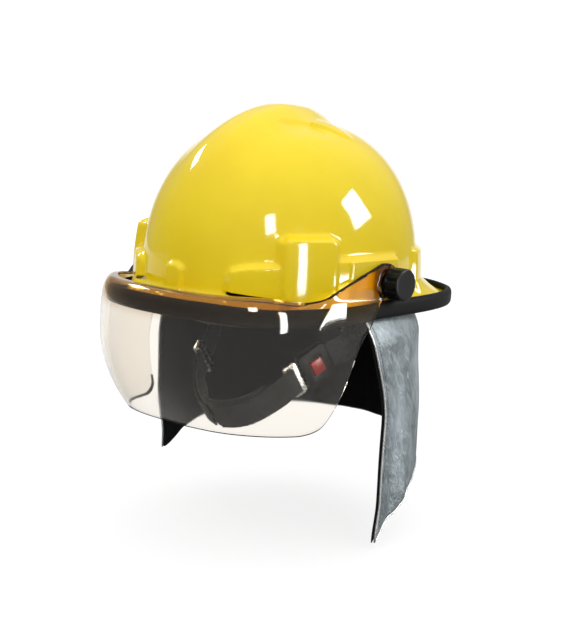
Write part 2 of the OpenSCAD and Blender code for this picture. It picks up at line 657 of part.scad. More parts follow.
module ratchet_cover() {
  color([0.12, 0.12, 0.12]) difference() {
    arc_wall(cover_in, cover_t, housing_half, -house_half_h, house_half_h);
    translate([0, band_y + band_r, band_z]) rotate([-90, 0, 0])
      cylinder(h = 30, r = hub_r + run, center = true, $fn = 72);
  }
}
ratchet_knob_y = band_y + band_r + cover_in + cover_t + 0.6;
module ratchet_knob() {
  color([0.12, 0.12, 0.12]) translate([0, 0, band_z]) {
    translate([0, ratchet_knob_y, 0]) rotate([-90, 0, 0]) difference() {
      cylinder(h = ratchet_knob_depth, d = ratchet_knob_d, $fn = 72);
      for (i = [0:15]) rotate(i * 22.5) translate([ratchet_knob_d / 2 + 1, 0, 1.5])
        cylinder(h = ratchet_knob_depth, r = 2.2, $fn = 20);
    }
    translate([0, band_y + band_r + tail_in + tail_t + touch / 2, 0]) rotate([-90, 0, 0])
      cylinder(h = ratchet_knob_y - (band_y + band_r + tail_in + tail_t) + 0.5, r = hub_r, $fn = 72);
    translate([0, band_y + band_r + tail_in - 0.1, 0]) rotate([-90, 0, 0])
      linear_extrude(tail_t + touch + 0.2) rotate(90 + 180 / pinion_teeth) polygon(pinion_outline());
  }
}

// Chin strap, from a hanger at each temple, round the jaw and under the chin
chin_run = [[50, -58, -99], [36, -70, -112], [20, -79, -120], [4, -83, -123]];
temple = [band_r + 4, band_y - 19, band_z - 33];
cheek_left = [temple, [band_r - 0.5, band_y - 25, band_z - 37]];
strap_right = concat([temple, [band_r - 1.5, band_y - 27, band_z - 40],
  [75, -16, -68], [70.4, -27.6, -78.7], [63.6, -40.4, -89.3]], chin_run);
function flip(p) = [-p[0], p[1], p[2]];
// Strap frames: the flat faces look away from the middle of the head
function strap_frame(path, i) =
  let(
    d = path[min(i + 1, len(path) - 1)] - path[max(i - 1, 0)],
    along = d / norm(d),
    away = path[i] - [0, 5, -60],
    flat = away - along * (away * along),
    n = flat / norm(flat)
  )
  [n, cross(along, n)];
function strap_ring(path, i, w, t, out) =
  let(f = strap_frame(path, i), c = path[i] + f[0] * out)
  [c - f[1] * w / 2 + f[0] * t / 2, c + f[1] * w / 2 + f[0] * t / 2,
   c + f[1] * w / 2 - f[0] * t / 2, c - f[1] * w / 2 - f[0] * t / 2];
// At its top the webbing goes through the hanger's eye and is sewn back on itself. The hanger
// leans forward in line with it, about the rivets
hang_tilt = 25;
hang_y = band_y - 1;
hang_z = band_z + 2;
eye_z = hang_z - 26.5;
function leaned(p) = [p[0], hang_y + (p[1] - hang_y) * cos(hang_tilt) + (p[2] - hang_z) * sin(hang_tilt),
  hang_z - (p[1] - hang_y) * sin(hang_tilt) + (p[2] - hang_z) * cos(hang_tilt)];
plate_x = band_r + band_t + touch;
plate_t = 1.6;
loop_bend = 2;
loop_in = plate_x - 2.4;
loop_out = plate_x + plate_t + 2.4;
loop_path = concat(
  [[loop_in + 2, eye_z - 11.5], [loop_in, eye_z - 6], [loop_in, eye_z - loop_bend]],
  [for (t = [30, 60]) [loop_in + loop_bend * (1 - cos(t)), eye_z - loop_bend * (1 - sin(t))]],
  [[loop_in + loop_bend, eye_z], [loop_out - loop_bend, eye_z]],
  [for (t = [60, 30]) [loop_out - loop_bend * (1 - cos(t)), eye_z - loop_bend * (1 - sin(t))]],
  [[loop_out, eye_z - loop_bend], [loop_out - 0.4, eye_z - 6]]
);
function loop_ring(i) =
  let(
    q = loop_path[min(i + 1, len(loop_path) - 1)] - loop_path[max(i - 1, 0)],
    n = [-q[1], 0, q[0]] / norm(q) * chin_t / 2,
    c = [loop_path[i][0], hang_y, loop_path[i][1]],
    w = [0, chin_w / 2, 0]
  )
  [leaned(c + w + n), leaned(c - w + n), leaned(c - w - n), leaned(c + w - n)];
loop_rings = [for (i = [0:len(loop_path) - 1]) loop_ring(i)];
module chin_strap_left() {
  color("black") {
    sweep(concat(loop_rings,
      [for (i = [0:1]) strap_ring(concat(cheek_left, [buckle_point(-22, 0)]), i, chin_w, chin_t, 0)],
      [buckle_ring(-22, 0), buckle_ring(-12, 0)]));
    sweep(concat([buckle_ring(19.5, 2.9), buckle_ring(29.5, 2.9)],
      [for (i = [1:4]) strap_ring(concat([buckle_point(29.5, 2.9)], chin_run), i, chin_w, chin_t, 0)]));
  }
}
// The right half is one run of webbing, drawn on the left and mirrored
module chin_strap_right() {
  color("black") mirror([1, 0, 0])
    sweep(concat(loop_rings,
      [for (i = [0:len(strap_right) - 1]) strap_ring(strap_right, i, chin_w, chin_t, 0)]));
}
module chin_pad() {
  path = concat([buckle_point(29.5, 2.9)], chin_run, [[0, -83.4, -123.2]],
    [for (i = [3:-1:0]) flip(chin_run[i])], [[-63.6, -40.4, -89.3]]);
  last = len(path) - 1;
  color([0.1, 0.1, 0.1]) sweep([for (i = [1:last - 1]) let(e = 1 - pow(abs(2 * i / last - 1), 4) * 0.5)
    strap_ring(path, i, chin_pad_h * e, chin_pad_t, -chin_t / 2 - 4 * touch - chin_pad_t / 2)]);
}

// Buckle on the left cheek: socket above, tongue below, red button between
buckle_at = [69, -31, -71];
buckle_frame = strap_frame([[73, -16, -64], buckle_at, [62, -46, -84]], 1);
buckle_along = cross(buckle_frame[0], buckle_frame[1]);
function buckle_point(x, z) = buckle_at + buckle_along * x + buckle_frame[0] * z;
function buckle_ring(x, z) = [for (k = [[-1, 1], [1, 1], [1, -1], [-1, -1]])
  buckle_point(x, z + k[1] * chin_t / 2) + buckle_frame[1] * k[0] * chin_w / 2];
module on_buckle() {
  d = buckle_along;
  s = buckle_frame[1];
  n = buckle_frame[0];
  multmatrix([
    [d[0], s[0], n[0], buckle_at[0]], [d[1], s[1], n[1], buckle_at[1]],
    [d[2], s[2], n[2], buckle_at[2]], [0, 0, 0, 1]
  ]) children();
}
buckle_w = chin_w + 9;
buckle_t = 9;
button = [12, 14, 3];
module rounded_plate(l, w, t, r) {
  linear_extrude(t) translate([-l / 2 + r, -w / 2 + r]) offset(r = r, $fn = 24) square([l - 2 * r, w - 2 * r]);
}
module buckle_socket() {
  color([0.1, 0.1, 0.1]) on_buckle() difference() {
    translate([-3, 0, -buckle_t / 2]) rounded_plate(30, buckle_w, buckle_t, 4);
    translate([4, 0, 0]) cube([24, chin_w - 3, 3.4], center = true);
    translate([-3, 0, buckle_t / 2 - button[2] + tiny]) translate([0, 0, button[2] / 2 - 0.4])
      cube([button[0] + 0.6, button[1] + 0.6, button[2] + 0.9], center = true);
    translate([-15, 0, 0]) cube([10, chin_w + 1, chin_t + 0.8], center = true);
  }
}
module buckle_tongue() {
  color("silver") on_buckle() difference() {
    union() {
      translate([1, -(chin_w - 4) / 2, -1.2]) cube([16, chin_w - 4, 2.4]);
      translate([21, 0, -1.4]) rounded_plate(13, buckle_w - 2, 2.8, 3);
    }
    translate([23, 0, 0]) cube([3, chin_w + 1, 8], center = true);
    translate([6, 0, 0]) cube([4, 8, 8], center = true);
  }
}
module release_button() {
  color("red") on_buckle() translate([-3, 0, buckle_t / 2 - button[2] + 1.2])
    rounded_plate(button[0], button[1], button[2], 1.5);
}

// Slider that takes up the spare webbing on the right of the chin
module strap_slider() {
  c = (strap_right[3] + strap_right[4]) / 2;
  f = strap_frame([strap_right[3], c, strap_right[4]], 1);
  d = cross(f[0], f[1]);
  color("silver") mirror([1, 0, 0]) multmatrix([
    [d[0], f[1][0], f[0][0], c[0]], [d[1], f[1][1], f[0][1], c[1]], [d[2], f[1][2], f[0][2], c[2]],
    [0, 0, 0, 1]
  ]) difference() {
    translate([0, 0, -chin_t / 2 - 2.2]) rounded_plate(13, chin_w + 9, chin_t + 4.4, 1.5);
    cube([60, chin_w + 2.4, chin_t + 1.2], center = true);
    for (z = [-1, 1]) translate([0, 0, z * 3]) cube([4, chin_w - 2, 4], center = true);
  }
}

// Hanger plates that carry the strap from the headband at each temple
module strap_hanger() {
  color("silver") difference() {
    translate([plate_x, hang_y, hang_z]) rotate([-hang_tilt, 0, 0]) difference() {
      translate([0, 0, eye_z - hang_z - 3.6]) rotate([90, 0, 90]) linear_extrude(plate_t)
        translate([-(chin_w + 8) / 2, 0]) square([chin_w + 8, hang_z - eye_z + 9.6]);
      translate([0, 0, eye_z - hang_z]) cube([12, chin_w + 1.4, 3.2], center = true);
    }
    for (y = [-8, 8]) translate([band_r + band_t, hang_y + y, hang_z]) rotate([0, 90, 0])
      cylinder(h = 12, r = 2 + run, center = true, $fn = 32);
  }
}
module strap_hangers() {
  strap_hanger();
  mirror([1, 0, 0]) strap_hanger();
}
module hanger_rivets() {
  color("silver") for (s = [-1, 1]) for (y = [-8, 8])
    translate([0, hang_y + y, hang_z]) rotate([0, s * 90, 0])
      translate([0, 0, plate_x + 0.01]) rotate_extrude($fn = 32) polygon([
        [0, 0], [2, 0], [2, plate_t], [3.6, plate_t], [3.2, plate_t + 0.8], [1.8, plate_t + 1.4],
        [0, plate_t + 1.5]
      ]);
}

// Neck curtain: from the left front edge round the back to the right front edge
curtain_from = 80;
curtain_to = 286;
curtain_n = 38;
function curtain_a(i) = mix(curtain_from, curtain_to, i / curtain_n);
function hem_z(a) = lookup(a, [
  [80, hem_left], [86, hem_left + 3], [96, mix(hem_left, hem_back, 0.17)],
  [108, mix(hem_left, hem_back, 0.35)], [120, mix(hem_left, hem_back, 0.54)],
  [131, mix(hem_left, hem_back, 0.7)], [145, mix(hem_left, hem_back, 0.87)], [162, hem_back - 2],
  [180, hem_back], [225, hem_back - 2], [255, mix(hem_right, hem_back, 0.75)],
  [272, mix(hem_right, hem_back, 0.4)], [281, mix(hem_right, hem_back, 0.1)], [286, hem_right]
]);
// The curtain leans back a little towards its hem along its front edges
function curtain_lean(a, z) = 13.5 * rise(-z, 5, 120) * (1 - rise(a, 80, 118));
// Below the brim it billows out behind the left ear and at the right front edge
function billow(a, z) = 5.5 * bump(a, 108, 150, 25) * rise(-z, 40, 130)
  + 7 * rise(a, 258, 280) * bump(-z, 70, 120, 55);
curtain_top = 2;
curtain_drops = [0, 0.05, 0.11, 0.19, 0.3, 0.45, 0.62, 0.8, 0.93, 1];
function curtain_r(a, z, out) =
  let(
    base = plan(a, dome_front, dome_rear, dome_side, dome_m) - shell_wall - 4.4,
    flare = (curtain_flare + shell_wall + 3.5) * rise(-z, 2, 46),
    folds = fold_depth * sin((a - 97) * 7) * rise(-z, 30, 170) * 0.5
      + fold_depth * 0.6 * sin((a - 97) * 13 + 40) * rise(-z, 60, 200) * 0.5
  )
  base + flare + folds + billow(a, z) + out;
function curtain_point(i, d, out) =
  let(a0 = curtain_a(i), z = mix(curtain_top, hem_z(a0), d), a = a0 + curtain_lean(a0, z))
  polar(a, curtain_r(a0, z, out), z);
function cloth_section(i, r_in, t) = concat(
  [for (d = curtain_drops) curtain_point(i, d, r_in + t)],
  [for (k = [len(curtain_drops) - 1:-1:0]) curtain_point(i, curtain_drops[k], r_in)]
);
module neck_curtain() {
  color("silver") sweep([for (i = [0:curtain_n]) cloth_section(i, 0, curtain_t)]);
}
module curtain_lining() {
  color([0.1, 0.1, 0.1]) sweep([for (i = [0:curtain_n]) cloth_section(i, -lining_t - 0.6, lining_t)]);
}
// Piping round the free edges of the curtain
piping_r = 2;
module curtain_binding() {
  left = [for (d = curtain_drops) curtain_point(0, d, 0.2)];
  hem = [for (i = [1:curtain_n - 1]) let(t = curtain_point(i + 1, 1, 0.2) - curtain_point(i - 1, 1, 0.2))
    curtain_point(i, 1, 0.2) - [0, 0, (piping_r + 0.7) * norm(t) / norm([t[0], t[1]])]];
  right = [for (k = [len(curtain_drops) - 1:-1:0]) curtain_point(curtain_n, curtain_drops[k], 0.2)];
  off_l = [0, -piping_r - 0.9, 0];
  path = concat([for (i = [3:len(left) - 1]) left[i] + off_l + (i == len(left) - 1 ? [0, 0, -2] : [0, 0, 0])],
    hem, [for (i = [0:len(right) - 4]) right[i] + off_l + (i == 0 ? [0, 0, -2] : [0, 0, 0])]);
  color("silver") sweep([for (i = [0:len(path) - 1])
    let(
      d = path[min(i + 1, len(path) - 1)] - path[max(i - 1, 0)],
      along = d / norm(d),
      away = [path[i][0], path[i][1], 0],
      flat = away - along * (away * along),
      n = flat / norm(flat),
      s = cross(along, n)
    )
    [for (k = [0:5]) path[i] + piping_r * (n * cos(60 * k + 30) + s * sin(60 * k + 30))]]);
}
// Hook tape glued inside the shell rim, which holds the curtain's top edge
module curtain_tape() {
  color([0.1, 0.1, 0.1]) sweep([for (i = [0:curtain_n]) let(
      a = curtain_a(i), r = plan(a, dome_front, dome_rear, dome_side, dome_m) - shell_wall - 1)
    [polar(a, r, 3), polar(a, r, -1), polar(a, r - 1.2, -1), polar(a, r - 1.2, 3)]]);
}

shell();
edge_trim();
visor();
visor_knob(1);  // visor_knob_left
visor_knob(-1);  // visor_knob_right
pivot_bolt(1);  // pivot_bolt_left
pivot_bolt(-1);  // pivot_bolt_right
friction_washers();
knob_washers();
impact_liner();
cradle_strap(0);  // cradle_strap_middle
cradle_strap(1);  // cradle_strap_left
cradle_strap(2);  // cradle_strap_right
crown_pad();
suspension_keys();
headband();
brow_pad();
nape_band(1);  // nape_band_left
nape_band(-1);  // nape_band_right
ratchet_housing();
ratchet_cover();
ratchet_knob();
nape_pad();
chin_strap_left();
chin_strap_right();
chin_pad();
buckle_socket();
buckle_tongue();
release_button();
strap_slider();
strap_hangers();
hanger_rivets();
neck_curtain();
curtain_lining();
curtain_binding();
curtain_tape();
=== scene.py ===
import math
from functools import partial
import bmesh
import bpy
import numpy as np
from mathutils import Matrix, Vector


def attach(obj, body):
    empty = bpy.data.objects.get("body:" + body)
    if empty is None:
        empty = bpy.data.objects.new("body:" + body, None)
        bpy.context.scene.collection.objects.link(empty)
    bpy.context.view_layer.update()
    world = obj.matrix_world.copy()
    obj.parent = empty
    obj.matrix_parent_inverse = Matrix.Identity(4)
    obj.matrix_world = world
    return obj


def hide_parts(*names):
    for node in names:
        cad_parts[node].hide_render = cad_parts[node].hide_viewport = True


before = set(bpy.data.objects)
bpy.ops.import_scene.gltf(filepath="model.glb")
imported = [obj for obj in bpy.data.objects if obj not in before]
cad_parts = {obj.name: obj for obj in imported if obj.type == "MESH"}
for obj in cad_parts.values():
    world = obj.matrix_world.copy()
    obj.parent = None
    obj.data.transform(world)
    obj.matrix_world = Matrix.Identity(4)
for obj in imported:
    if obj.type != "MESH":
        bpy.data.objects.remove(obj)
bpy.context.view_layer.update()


# ---- Camera
# The photograph looks at the wearer's left front from a little above the brim. The angles, the
# distance and the focal length come from a camera fitted to the dome's and the brim's outlines.
view_azimuth = math.radians(41.42)
view_elevation = math.radians(7.36)
view_roll = math.radians(2.95)
view_distance = 1.0917
focal_px = 1142.37
photo_w, photo_h = 567, 629
origin_px = (282.44, 277.16)
sensor_mm = 36


def seen_from(azimuth, elevation):
    """A unit vector; azimuth in radians from the front towards the wearer's left."""
    return Vector((math.sin(azimuth) * math.cos(elevation),
                   -math.cos(azimuth) * math.cos(elevation), math.sin(elevation)))


toward = seen_from(view_azimuth, view_elevation)
level = Vector((math.cos(view_azimuth), math.sin(view_azimuth), 0))
upright = toward.cross(level)
right = level * math.cos(view_roll) + upright * math.sin(view_roll)
above = upright * math.cos(view_roll) - level * math.sin(view_roll)
camera = bpy.data.objects.new("camera", bpy.data.cameras.new("camera"))
bpy.context.collection.objects.link(camera)
camera.matrix_world = Matrix((right, above, toward)).transposed().to_4x4()
camera.location = toward * view_distance
camera.data.sensor_width = sensor_mm
camera.data.lens = focal_px * sensor_mm / photo_h
camera.data.shift_x = (photo_w / 2 - origin_px[0]) / photo_h
camera.data.shift_y = (origin_px[1] - photo_h / 2) / photo_h
camera.data.clip_start = 0.05
bpy.context.scene.camera = camera
bpy.context.scene.view_settings.view_transform = "Standard"


# ---- Floor and light
# A plain pale floor just under the curtain's hem, a white backdrop behind the helmet, and a studio
# that is brighter overhead. To the camera, and through the visor, floor and backdrop are white.
floor_z, floor_half = -0.2365, 6
floor_grey, floor_glow = 0.28, 0.78
low_light, overhead_light = 0.41, 1.12
light_from = (0.2, -0.1, 0.97)
# Gloss sees the white only behind the helmet: within this cone of the backdrop, and over this
# depth of floor in metres.
backdrop_cone, floor_behind = (0.86, 0.93), (0.1, 0.6)


def paint(code):
    """An sRGB hex colour as the linear colour that a socket takes."""
    srgb = [int(code[k:k + 2], 16) / 255 for k in (1, 3, 5)]
    return tuple(c / 12.92 if c < 0.04045 else ((c + 0.055) / 1.055) ** 2.4 for c in srgb) + (1,)


def wire(node, *in_order, **named):
    """Fills a node's sockets: those in use in order, and others by name, with an underscore for
    a space. A socket, or a node's first output in use, is linked; anything else is set."""
    in_use = [socket for socket in node.inputs if socket.enabled]
    wanted = list(zip(in_use, in_order))
    wanted += [(node.inputs[key.replace("_", " ")], value) for key, value in named.items()]
    for socket, value in wanted:
        if isinstance(value, bpy.types.Node):
            value = next(output for output in value.outputs if output.enabled)
        if isinstance(value, bpy.types.NodeSocket):
            node.id_data.links.new(value, socket)
        else:
            socket.default_value = paint(value) if isinstance(value, str) else value


def add_node(tree, kind, *in_order, **named):
    """A new node; a lower-case name is one of its settings, and the rest goes to its sockets."""
    node = tree.nodes.new(kind if "Node" in kind else "ShaderNode" + kind)
    for key in [key for key in named if key.islower()]:
        setattr(node, key, named.pop(key))
    wire(node, *in_order, **named)
    return node


def seen_directly(add, in_gloss):
    """1 for camera and transmission rays, in_gloss for glossy ones, 0 after a diffuse bounce."""
    path = add("LightPath").outputs
    gloss = add("Math", path["Is Glossy Ray"], in_gloss, operation="MULTIPLY")
    seen = path["Is Camera Ray"]
    for ray in (gloss, path["Is Transmission Ray"]):
        seen = add("Math", seen, ray, operation="MAXIMUM")
    fresh = add("Math", path["Diffuse Depth"], 0.5, operation="LESS_THAN")
    return add("Math", seen, fresh, operation="MULTIPLY")


world = bpy.data.worlds.new("studio")
world.use_nodes = True
bpy.context.scene.world = world
sky = world.node_tree
add = partial(add_node, sky)
heading = add("TexCoord").outputs["Generated"]
ahead, overhead = [add("VectorMath", heading, direction, operation="DOT_PRODUCT")
                   for direction in (tuple(-toward), light_from)]
backdrop = add("MapRange", ahead, backdrop_cone[0], backdrop_cone[1])
studio = add("MapRange", overhead, 0.0, 1.0, low_light, low_light + overhead_light)
white = add("Mix", seen_directly(add, backdrop), studio, 1.0)
wire(sky.nodes["Background"], Color=(1, 1, 1, 1), Strength=white)

floor_mesh = bpy.data.meshes.new("floor")
floor_mesh.from_pydata([(x * floor_half, y * floor_half, floor_z)
                        for x, y in ((-1, -1), (1, -1), (1, 1), (-1, 1))], [], [(0, 1, 2, 3)])
floor = bpy.data.objects.new("floor", floor_mesh)
bpy.context.collection.objects.link(floor)
floor_paint = bpy.data.materials.new("pale_floor")
floor_paint.use_nodes = True
floor_paint.node_tree.nodes.clear()
add = partial(add_node, floor_paint.node_tree)
matt = add("BsdfDiffuse", Color=(floor_grey, floor_grey, floor_grey, 1))
spot = add("NewGeometry").outputs["Position"]
depth = add("VectorMath", spot, tuple(-toward), operation="DOT_PRODUCT")
behind = add("MapRange", depth, floor_behind[0], floor_behind[1])
whiteness = add("Math", seen_directly(add, behind), floor_glow, operation="MULTIPLY")
glow = add("Emission", Color=(1, 1, 1, 1), Strength=whiteness)
both = add("AddShader", matt, glow)
add("OutputMaterial", Surface=both)
floor_mesh.materials.append(floor_paint)

# Soft boxes that only show as crisp highlights: azimuth and height in degrees, turn about the line
# to the helmet, distance, width and height in metres. All are equally bright.
box_glow = 40
soft_boxes = {
    "window": (129, 24, 14, 1.7, 0.42, 0.5),
    "strip": (50, 26, 8, 1.7, 0.25, 0.36),
    "far": (-80, 37, 0, 1.7, 0.5, 0.2),
    "low_front": (75, 7, 0, 1.1, 0.11, 0.52),
    "low_side": (109, -5.5, 0, 1.1, 0.34, 0.15),
}
for name, (azimuth, height, turn, distance, width, tall) in soft_boxes.items():
    lamp = bpy.data.lights.new("soft_box_" + name, "AREA")
    lamp.shape = "RECTANGLE"
    lamp.size, lamp.size_y = width, tall
    lamp.energy = box_glow * math.pi * width * tall
    box = bpy.data.objects.new("soft_box_" + name, lamp)
    bpy.context.collection.objects.link(box)
    box.visible_diffuse = False
    place = seen_from(math.radians(azimuth), math.radians(height))
    aimed = place.to_track_quat("Z", "Y").to_matrix().to_4x4()
    box.matrix_world = (Matrix.Translation(distance * place) @ aimed
                        @ Matrix.Rotation(math.radians(turn), 4, "Z"))


# ---- Shell
# One injection moulding in through-dyed yellow thermoplastic: a dome with a crown ridge that ends
# in a step, hollow side bosses, an accessory slot under each, flat seats for the visor, and a brim
# that flares from the dome's foot to a flat lip.

# Sizes are in millimetres, angles in degrees from the front towards the wearer's left.
dome_front, dome_rear, dome_side, dome_h = 141, 137, 115.5, 151
# Powers of the dome's rounding seen from the side and in plan.
dome_n, dome_m = 2.35, 2.18
shell_wall = 3
brim_front, brim_rear, brim_side, brim_drop = 170, 171, 128, 12
front_power, rear_power = 2.6, 3.1
# The brim's two dips and the foot's dip and rise, each with its depth and its span by angle.
front_dip, rear_dip = (3.5, 42, 64, 26), (1.2, 84, 150, 20)
foot_z, foot_dip, foot_rise = 3, (8, 50, 104, 22), (4, 112, 122)
trim_w = 6
boss_h, seat_x, front_boss_h = 50, 120, 22
block_out, wing_out, rear_out, front_out = 11, 7, 5, 4
# Where each boss starts and ends round the dome, and how softly; a flat is its level top.
block_span, block_flat, wing_span = (43.1, 61, 5.2), (43.4, 60.4, 2.6), (25, 70, 5)
seat_span, rear_span, rear_top = (70, 99.3, 4.7), (122, 146, 3), (33, 38)
front_ends, front_flat, corner_drop, edge_soft = (3.6, 5.2), (1.8, 4), 2.5, 3
# Inside the shell, the front, block and rear bosses are solid ribs over these spans.
front_rib, block_rib, rear_rib = (5.2, 6), (49, 56.5, 5), (124, 132, 2)
wing_top = ([19.5, 21.5, 23, 26, 30, 38, 50, 54],
            [0.2, 0.33, 0.42, 0.47, 0.505, 0.54, 0.56, 0.64])
ridge_h, ridge_half_w = 13, 44.5
# Towards the step the ridge narrows to a share of its width, and its flat top narrows more.
ridge_narrow, narrowing, ridge_flat, flattening = 0.48, (-10, 20), (0.13, 0.03), (-20, 20)
# The ridge's height along the crown, and the crease beside its tail, from the middle outwards.
ridge_rise = ([-80, -55, -28, -8, 6, 14, 20, 36, 70],
              [0, 0.19, 0.57, 1, 0.9, 0.67, 0.15, 0.1, 0])
crease_line = ([-52, -44, -33, -25, -16, -8.5, -2.5, 1, 19, 45],
               [27, 30, 34.5, 37.5, 40.5, 47, 55, 60, 70, 80])
tail_h, tail_span, dent_deep, dent_span = 2.2, (-14, 6, 18), 1.6, (-40, -14, 12)
pivot_y, pivot_z, bolt_d, bolt_run = 6.5, 9.5, 6, 0.05
slot_at, slot_size, slot_turn, slot_dip = 33.87, (70, 11, 3), 40.7, 5.2
slot_out, slot_z = 2.42, -1


def rise(x, low, high):
    """0 up to low, 1 from high on, and a smooth step between."""
    t = np.clip((x - low) / (high - low), 0, 1)
    return t * t * (3 - 2 * t)


def bump(x, low, high, soft):
    """1 between low and high, and a smooth step down to 0 outside them."""
    return rise(x, low - soft, low) * (1 - rise(x, high, high + soft))


def mix(a, b, t):
    return a + (b - a) * t


def sine(a):
    return np.sin(np.radians(a))


def cosine(a):
    return np.cos(np.radians(a))


def from_front(a):
    return np.abs((a + 540) % 360 - 180)


def plan(a, front, rear, side, power):
    length = np.where(cosine(a) > 0, front, rear)
    across, along = np.abs(sine(a)) / side, np.abs(cosine(a)) / length
    return (across ** power + along ** power) ** (-1 / power)


def polar(a, r, z):
    return np.stack(np.broadcast_arrays(r * sine(a), -r * cosine(a), z), -1)


def dome_plan(a, inset):
    return plan(a, dome_front - inset, dome_rear - inset, dome_side - inset, dome_m)


def boss_stand_out(a, z, r):
    """How far block, front wing, visor seat, rear boss and front boss stand out of the dome."""
    f = from_front(a)
    top = boss_h - corner_drop * (1 - bump(f, *block_flat))
    block = block_out * bump(f, *block_span) * (1 - rise(z, top - edge_soft, top + 4))
    top = boss_h * np.interp(f, *wing_top)
    wing = wing_out * bump(f, *wing_span) * (1 - rise(z, top - edge_soft, top + 3))
    top = boss_h * wing_top[1][-1]
    flat = bump(f, *seat_span) * (1 - rise(z, top - edge_soft, top + 4))
    seat = flat * (seat_x / np.maximum(0.5, sine(f)) - r)
    rear = rear_out * bump(f, *rear_span) * (1 - rise(z, *rear_top))
    top = front_boss_h - corner_drop * rise(f, *front_flat)
    front = front_out * (1 - rise(f, *front_ends)) * (1 - rise(z, top - edge_soft, top + 2))
    return np.maximum.reduce([block, wing, seat, rear, front, 0 * r])


def ridge_lift(p):
    along = np.degrees(np.arctan2(p[..., 1], np.maximum(1, p[..., 2])))
    half = ridge_half_w * mix(1, ridge_narrow, rise(along, *narrowing))
    flat = half * mix(*ridge_flat, rise(along, *flattening))
    across = 1 - rise(np.abs(p[..., 0]), flat, half)
    beyond = np.abs(p[..., 0]) - np.interp(p[..., 1], *crease_line)
    tail = tail_h * (1 - rise(beyond, -3.5, 0)) * bump(p[..., 1], *tail_span)
    dent = dent_deep * rise(beyond, -3, 0) * (1 - rise(beyond, 2, 30))
    dent = dent * bump(p[..., 1], *dent_span)
    return np.maximum(ridge_h * across * np.interp(along, *ridge_rise), tail) - dent


def with_ridge(p):
    """Lifts points off the dome, nearly along its normal, by the crown ridge's height there."""
    away = p * [1, 1, 1.2]
    away /= np.linalg.norm(away, axis=-1, keepdims=True)
    return p + away * ridge_lift(p)[..., None]


def dome_row(a, t, inset):
    """The dome's outline at a share of its height; t runs from 0 at the foot to 90 at the top."""
    r = dome_plan(a, inset) * cosine(t) ** (2 / dome_n)
    return polar(a, r, (dome_h - inset) * sine(t) ** (2 / dome_n))


def dome_reach(a, z, inset):
    up = np.maximum(0, z) / (dome_h - inset)
    return dome_plan(a, inset) * (1 - up ** dome_n) ** (1 / dome_n)


def wall_point(a, z, inset):
    """The dome's side with its bosses; inside, solid ribs stay where the bosses are hollow."""
    r = dome_reach(a, z, inset)
    f = from_front(a)
    rib = np.maximum.reduce([1 - rise(f, *front_rib), bump(f, *block_rib), bump(f, *rear_rib)])
    out = boss_stand_out(a, z + inset * 0.6, r + inset) * (1 - rib if inset else 1)
    return with_ridge(polar(a, r + out, z))


def brim_plan(a, inset):
    power = np.where(cosine(a) > 0, front_power, rear_power)
    return plan(a, brim_front - inset, brim_rear - inset, brim_side - inset, power)


def brim_height(a):
    f = from_front(a)
    front, rear = [deep * bump(f, *span) for deep, *span in (front_dip, rear_dip)]
    return -brim_drop - front - rear


def foot_height(a):
    """Where the dome's wall turns into the brim."""
    f = from_front(a)
    (deep, *dip), (high, *up) = foot_dip, foot_rise
    return foot_z - deep * bump(f, *dip) + high * rise(f, *up)


def brim_point(a, t, under):
    """The brim from its foot, at t = 0, to its lip, at 90; under is 1 for its lower face."""
    foot = np.linalg.norm(wall_point(a, 0, 0)[..., :2], axis=-1)
    straight = 0.75 * rise(from_front(a), 106, 120)
    flare = mix(1 - cosine(t), t / 90, straight)
    r = mix(foot, brim_plan(a, trim_w + 0.6), flare) - under * shell_wall * cosine(t)
    fall = mix(sine(t), t / 90, straight)
    z = mix(foot_height(a), brim_height(a) + shell_wall / 2, fall)
    return polar(a, r, z - under * shell_wall * sine(t))


def brim_lip(a, side):
    return polar(a, brim_plan(a, trim_w - 4), brim_height(a) + side * shell_wall / 2)


def new_piece(name, points, faces, across=None, edges=()):
    """A smooth mesh from millimetres; across gives each point its place on the flat cloth."""
    mesh = bpy.data.meshes.new(name)
    mesh.from_pydata([tuple(p) for p in np.asarray(points, float) / 1000], edges, faces)
    if across is not None:
        corners = np.empty(len(mesh.loops), int)
        mesh.loops.foreach_get("vertex_index", corners)
        on_cloth = (np.asarray(across, float) / 1000)[corners]
        mesh.uv_layers.new(name="cloth").data.foreach_set("uv", on_cloth.ravel())
    mesh.polygons.foreach_set("use_smooth", [True] * len(mesh.polygons))
    piece = bpy.data.objects.new(name, mesh)
    bpy.context.collection.objects.link(piece)
    return piece


def loop_faces(rows, columns, closed_rows=False):
    last = rows if closed_rows else rows - 1
    return [(i * columns + j, i * columns + (j + 1) % columns,
             (i + 1) % rows * columns + (j + 1) % columns, (i + 1) % rows * columns + j)
            for i in range(last) for j in range(columns)]


def domed_piece(name, rings):
    """Skins rings of points in order and closes the first and the last with a fan."""
    n = len(rings[0])
    points = list(np.concatenate(rings))
    faces = loop_faces(len(rings), n)
    for ring, turn in ((0, 1), (len(rings) - 1, -1)):
        pole, first = len(points), ring * n
        points.append(np.mean(rings[ring], axis=0))
        faces += [(pole, first + (j + 1) % n, first + j)[::turn] for j in range(n)]
    return new_piece(name, points, faces)


def shaded(piece, angle=None):
    """Smooth faces, with sharp edges past the angle where one is given."""
    piece.data.polygons.foreach_set("use_smooth", [True] * len(piece.data.polygons))
    if angle:
        piece.data.set_sharp_from_angle(angle=math.radians(angle))
    return piece


def settled(piece):
    """Applies the piece's modifiers."""
    graph = bpy.context.evaluated_depsgraph_get()
    mesh = bpy.data.meshes.new_from_object(piece.evaluated_get(graph), depsgraph=graph)
    piece.modifiers.clear()
    piece.data = mesh
    return piece


